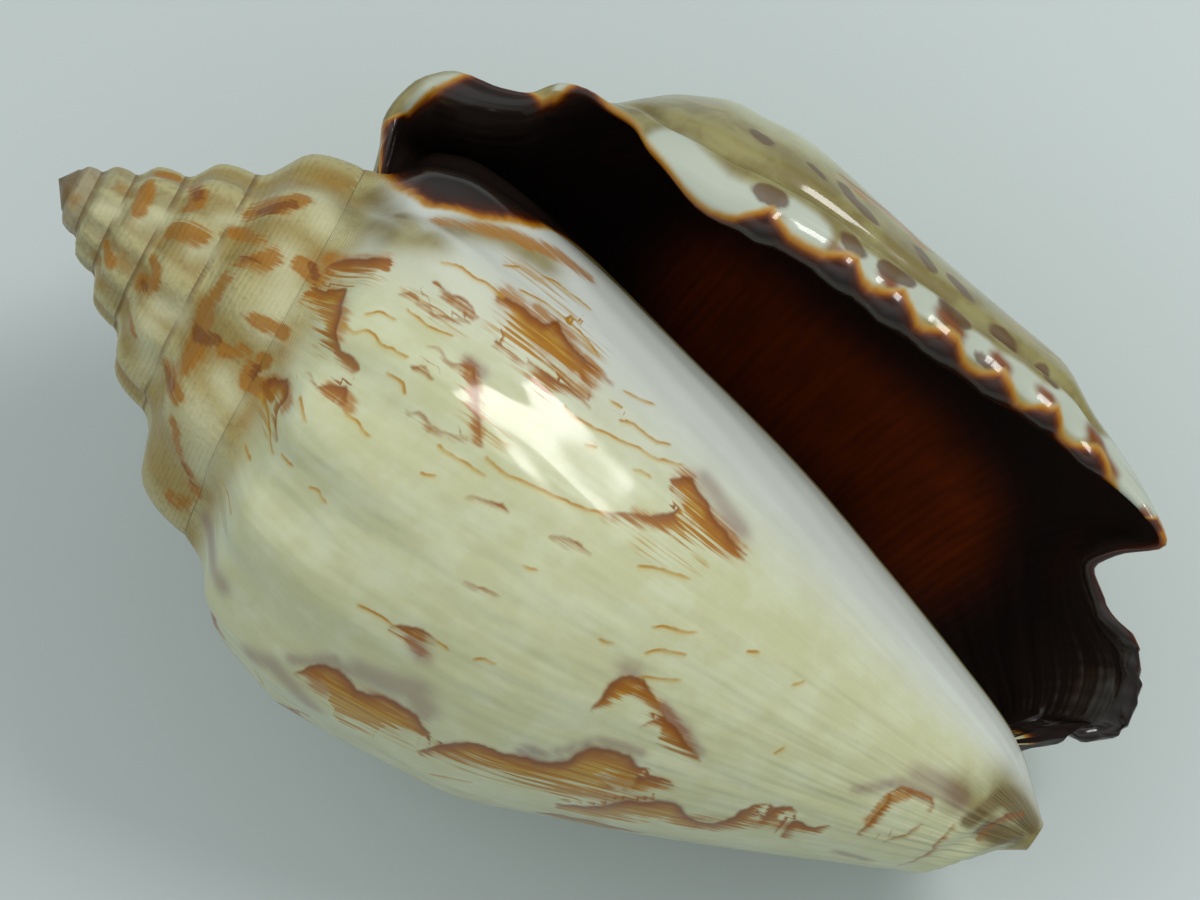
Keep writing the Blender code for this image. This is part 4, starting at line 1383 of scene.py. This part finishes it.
def spire_ground(nodes):
    """The spire's ground colour: pale knobs, golden clouds between them and dark sutures."""
    knob = nodes.read("knob")
    bare = nodes.ramp(nodes.scale(nodes.turn, -6.0, -1.0, 0.0, 1.0), SPIRE_STOPS)
    bare = nodes.mix(nodes.both(nodes.rise(nodes.clouds, 0.4, 0.75), 0.5), bare, SPIRE_CLOUD)
    golden = nodes.both(nodes.rise(nodes.clouds, 0.50, 0.62), nodes.fall(knob, 0.1, 0.6), 0.45)
    bare = nodes.mix(golden, bare, SPIRE_GOLD)
    bare = nodes.mix(nodes.both(nodes.rise(knob, 0.35, 0.95), 0.75), bare, SPIRE_KNOB)
    bare = nodes.mix(nodes.both(nodes.rise(nodes.grains, 0.5, 0.75), 0.30), bare, SPIRE_GRAIN)
    suture = nodes.total(nodes.share, nodes.both(nodes.clouds, 0.006))
    return nodes.mix(nodes.both(nodes.fall(suture, 0.004, 0.010), 0.7), bare, SUTURE_BROWN)


def lip_band(nodes, colour):
    """The tan band along the lip's outside, its white patches and the brown gaps between them."""
    band = nodes.both(nodes.read("lip_edge"), nodes.fall(nodes.read("lip"), 9.0, 26.0))
    band = nodes.maths("MAXIMUM", band, nodes.read("stain_tan"))
    tan = nodes.mix(nodes.rise(nodes.clouds, 0.35, 0.65), DARK_TAN, PALE_TAN)
    colour = nodes.mix(nodes.both(band, 0.9), colour, tan)
    colour = nodes.stain(colour, "white", LIP_WHITE, (0.12, 0.55), 0.92)
    return nodes.stain(colour, "gap", GAP_BROWN, (0.05, 0.9), 0.95)


def soft_stains(nodes, colour):
    """The stains that follow no growth line: on the spire, round the blotches and at the tip."""
    colour = nodes.mix(nodes.both(nodes.read("stain_pale"), 0.85), colour, PALE_STAIN)
    ragged = nodes.both(nodes.streaky(0.45, 1.35), nodes.cloudy(0.2, 1.9))
    colour = nodes.stain(colour, "orange", ORANGE_STAIN, (0.06, 0.50), 0.88, ragged)
    colour = nodes.stain(colour, "brown", BROWN_STAIN, (0.15, 0.60), 0.8, ragged)
    colour = nodes.stain(colour, "warm", WARM_STAIN, (0.05, 0.80), 0.80,
                         nodes.streaky(0.5, 1.3), nodes.cloudy(0.3, 1.6))
    tip = nodes.mix(nodes.streaks, TIP_DARK, TIP_PALE)
    colour = nodes.stain(colour, "tip", tip, (0.15, 0.8), 0.9)
    streaked = nodes.both(nodes.rise(nodes.read("stain_streaked"), 0.1, 0.9),
                          nodes.rise(nodes.streaks, 0.45, 0.95), 0.65)
    colour = nodes.mix(streaked, colour, STREAK_STAIN)
    colour = nodes.stain(colour, "spots", SPOT_BROWN, (0.25, 0.55), 0.8, nodes.cloudy(0.6, 1.3))
    return nodes.stain(colour, "purple", PURPLE_HAZE, (0.0, 1.2), 0.55, nodes.cloudy(0.8, 1.2))


def blotch_marks(nodes, colour):
    """The golden blotches: a brown leading edge, a body that runs out in streaks, and a halo."""
    lead = nodes.total(nodes.read("lead"), nodes.sway(nodes.wobble, 0.70))
    depth = nodes.read("depth")
    past_end = nodes.maths("SUBTRACT", nodes.read("beside"), nodes.both(nodes.streaks, depth, 0.35))
    within = nodes.both(nodes.fall(past_end, 0.0, 0.22),
                        nodes.rise(nodes.read("inside"), -0.50, -0.28))
    gone = nodes.maths("SUBTRACT", lead, nodes.both(depth, nodes.streaky(0.60, 1.50)))
    body = nodes.both(nodes.rise(lead, -0.14, 0.08), nodes.fall(gone, -0.45, 0.15), within, 0.94)
    tint = nodes.ramp(nodes.maths("MULTIPLY", lead, 0.3), BLOTCH_STOPS)
    gold = nodes.both(nodes.fall(nodes.streaks, 0.2, 0.8), nodes.rise(lead, 0.15, 0.9), 0.75)
    tint = nodes.mix(gold, tint, BLOTCH_GOLD)
    tint = nodes.mix(nodes.both(nodes.fall(depth, 0.3, 1.0), 0.6), tint, BLOTCH_SHALLOW)
    halo = nodes.both(nodes.rise(lead, -0.35, 0.0), nodes.fall(lead, 0.0, 0.05), within,
                      nodes.rise(depth, 0.8, 2.0), nodes.whole("line"), 0.6)
    colour = nodes.mix(halo, colour, BLOTCH_HALO)
    return nodes.mix(body, colour, tint)


def stroke_marks(nodes, colour):
    """The thin golden strokes, each with a pale halo behind it."""
    hair = nodes.total(nodes.read("hair"), nodes.both(nodes.sway(nodes.wobble, 0.70), 0.5))
    within = nodes.both(nodes.fall(nodes.read("hair_beside"), 0.0, 0.25),
                        nodes.rise(nodes.read("hair_inside"), -0.36, -0.22),
                        nodes.whole("hair_line"))
    edge = nodes.rise(hair, -0.10, -0.01)
    halo = nodes.both(edge, nodes.fall(hair, 0.0, 0.45), within, 0.40)
    thin = nodes.both(edge, nodes.fall(hair, 0.03, 0.17), within,
                      nodes.scale(nodes.wobble, 0.35, 0.6, 0.35, 1.0), 0.85)
    return nodes.mix(thin, nodes.mix(halo, colour, STROKE_HALO), STROKE)


def aperture(nodes, colour):
    """The dark of the aperture, with its golden brown edge and the glow of the lit wall."""
    fringe = nodes.grid_noise(nodes.growth, FRINGE_GRID)
    inside = nodes.total(nodes.dark, nodes.sway(fringe, 0.18))
    deep = nodes.ramp(nodes.scale(inside, -0.7, 0.9, 0.0, 1.0), APERTURE_STOPS)
    lit = nodes.both(nodes.rise(nodes.read("glow"), 0.05, 0.95), nodes.rise(inside, 1.5, 4.0),
                     nodes.scale(fringe, 0.3, 0.7, 0.7, 1.15), 0.95)
    deep = nodes.mix(lit, deep, APERTURE_GLOW)
    return nodes.mix(nodes.rise(inside, -0.75, -0.30), colour, deep)


def wave(nodes, count):
    """A wave down the profile."""
    return nodes.maths("SINE", nodes.maths("MULTIPLY", nodes.share, FULL_TURN * count))


def fine_relief(nodes):
    """Threads and grains on the spire, grooves inside the lip and ripples along the growth lines."""
    in_lip = nodes.both(nodes.rise(nodes.dark, 0.4, 1.2), nodes.rise(nodes.share, 0.26, 0.34))
    ripples = nodes.grid_noise(nodes.growth, RIPPLE_GRID, detail=1.0)
    height = nodes.total(
        nodes.both(wave(nodes, THREADS), nodes.spire, 0.25),
        nodes.both(wave(nodes, GROOVES), in_lip, 0.35),
        nodes.both(ripples, nodes.past_callus, 4.0),
        nodes.both(nodes.grains, nodes.spire, 1.6),
    )
    return nodes.add("ShaderNodeBump", {"Height": height, "Distance": BUMP * MM, "Strength": 1.0})


def shell_material():
    material = bpy.data.materials.new("shell")
    material.use_nodes = True
    nodes = ShellNodes(material.node_tree)
    colour = nodes.mix(nodes.spire, cream_ground(nodes), spire_ground(nodes))
    colour = soft_stains(nodes, lip_band(nodes, colour))
    colour = stroke_marks(nodes, blotch_marks(nodes, colour))
    colour = aperture(nodes, colour)
    rough = nodes.total(nodes.mix_number(nodes.spire, 0.34, 0.48), nodes.sway(nodes.clouds, 0.10))
    rough = nodes.mix_number(nodes.rise(nodes.dark, 0.0, 0.6), rough, 0.22)
    inputs = {
        "Base Color": colour,
        "Roughness": rough,
        "Coat Weight": nodes.mix_number(nodes.spire, 0.5, 0.3),
        "Coat Roughness": COAT_ROUGHNESS,
        "Coat IOR": COAT_IOR,
        "Specular IOR Level": SPECULAR_LEVEL,
        "Normal": fine_relief(nodes),
    }
    shader = material.node_tree.nodes["Principled BSDF"]
    for name, value in inputs.items():
        nodes.put(shader.inputs[name], value)
    return material


def plain_material(name, colour, roughness):
    material = bpy.data.materials.new(name)
    material.use_nodes = True
    shader = material.node_tree.nodes["Principled BSDF"]
    shader.inputs["Base Color"].default_value = colour
    shader.inputs["Roughness"].default_value = roughness
    return material


def add_shell():
    bm = build_shell()
    mesh = bpy.data.meshes.new("shell_grown")
    bm.to_mesh(mesh)
    paint_attributes(bm, mesh)
    bm.free()
    mesh.shade_smooth()
    mesh.materials.append(shell_material())
    shell = bpy.data.objects.new("shell_grown", mesh)
    bpy.context.scene.collection.objects.link(shell)
    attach(shell, "root")
    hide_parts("shell")


def add_floor():
    bm = bmesh.new()
    bmesh.ops.create_grid(bm, x_segments=1, y_segments=1, size=FLOOR_SIZE / 2.0)
    mesh = bpy.data.meshes.new("floor")
    bm.to_mesh(mesh)
    bm.free()
    mesh.materials.append(plain_material("floor", FLOOR_COLOUR, FLOOR_ROUGHNESS))
    floor = bpy.data.objects.new("floor", mesh)
    bpy.context.scene.collection.objects.link(floor)


def add_camera():
    turn = Matrix(picture_axes()).transposed()
    lens = bpy.data.cameras.new("camera")
    lens.sensor_width = SENSOR
    lens.lens = SENSOR * CAMERA_PLACE[2] * PIXELS_PER_MM / PICTURE_WIDTH
    lens.clip_start = CLIP_START
    camera = bpy.data.objects.new("camera", lens)
    camera.matrix_world = Matrix.Translation(camera_place()) @ turn.to_4x4()
    bpy.context.scene.collection.objects.link(camera)
    bpy.context.scene.camera = camera


def add_window():
    """The area light, its first side along the shell's axis."""
    lamp = bpy.data.lights.new("window", "AREA")
    lamp.shape = "RECTANGLE"
    lamp.size, lamp.size_y = WINDOW_SIZE
    lamp.energy = WINDOW_POWER
    lamp.color = WINDOW_COLOUR
    window = bpy.data.objects.new("window", lamp)
    back = laid(WINDOW_FROM).normalized()
    across = back.cross(laid((1.0, 0.0, 0.0))).normalized()
    turn = Matrix((across.cross(back), across, back)).transposed()
    centre = Vector(SHELL_MIDDLE) + back * WINDOW_DISTANCE
    window.matrix_world = Matrix.Translation(centre) @ turn.to_4x4()
    bpy.context.scene.collection.objects.link(window)


def add_sky():
    """A soft sky, brightest on one side and dimmed straight above."""
    world = bpy.data.worlds.new("studio")
    world.use_nodes = True
    nodes = Nodes(world.node_tree)
    towards = nodes.add("ShaderNodeTexCoord", {}, "Generated")
    inputs = {0: towards, 1: laid(SKY_FROM).normalized()}
    side = nodes.add("ShaderNodeVectorMath", inputs, "Value", operation="DOT_PRODUCT")
    height = nodes.add("ShaderNodeSeparateXYZ", {0: towards}, "Z")
    strength = nodes.both(nodes.rise(side, 0.0, 1.0, SKY_LOW, SKY_HIGH),
                          nodes.rise(height, DIM_FROM, DIM_TO, 1.0, SKY_DIM))
    background = world.node_tree.nodes["Background"]
    nodes.put(background.inputs["Color"], SKY_COLOUR)
    nodes.put(background.inputs["Strength"], strength)
    bpy.context.scene.world = world


def main():
    add_shell()
    add_floor()
    add_camera()
    add_window()
    add_sky()
    bpy.context.scene.view_settings.view_transform = "Standard"


main()
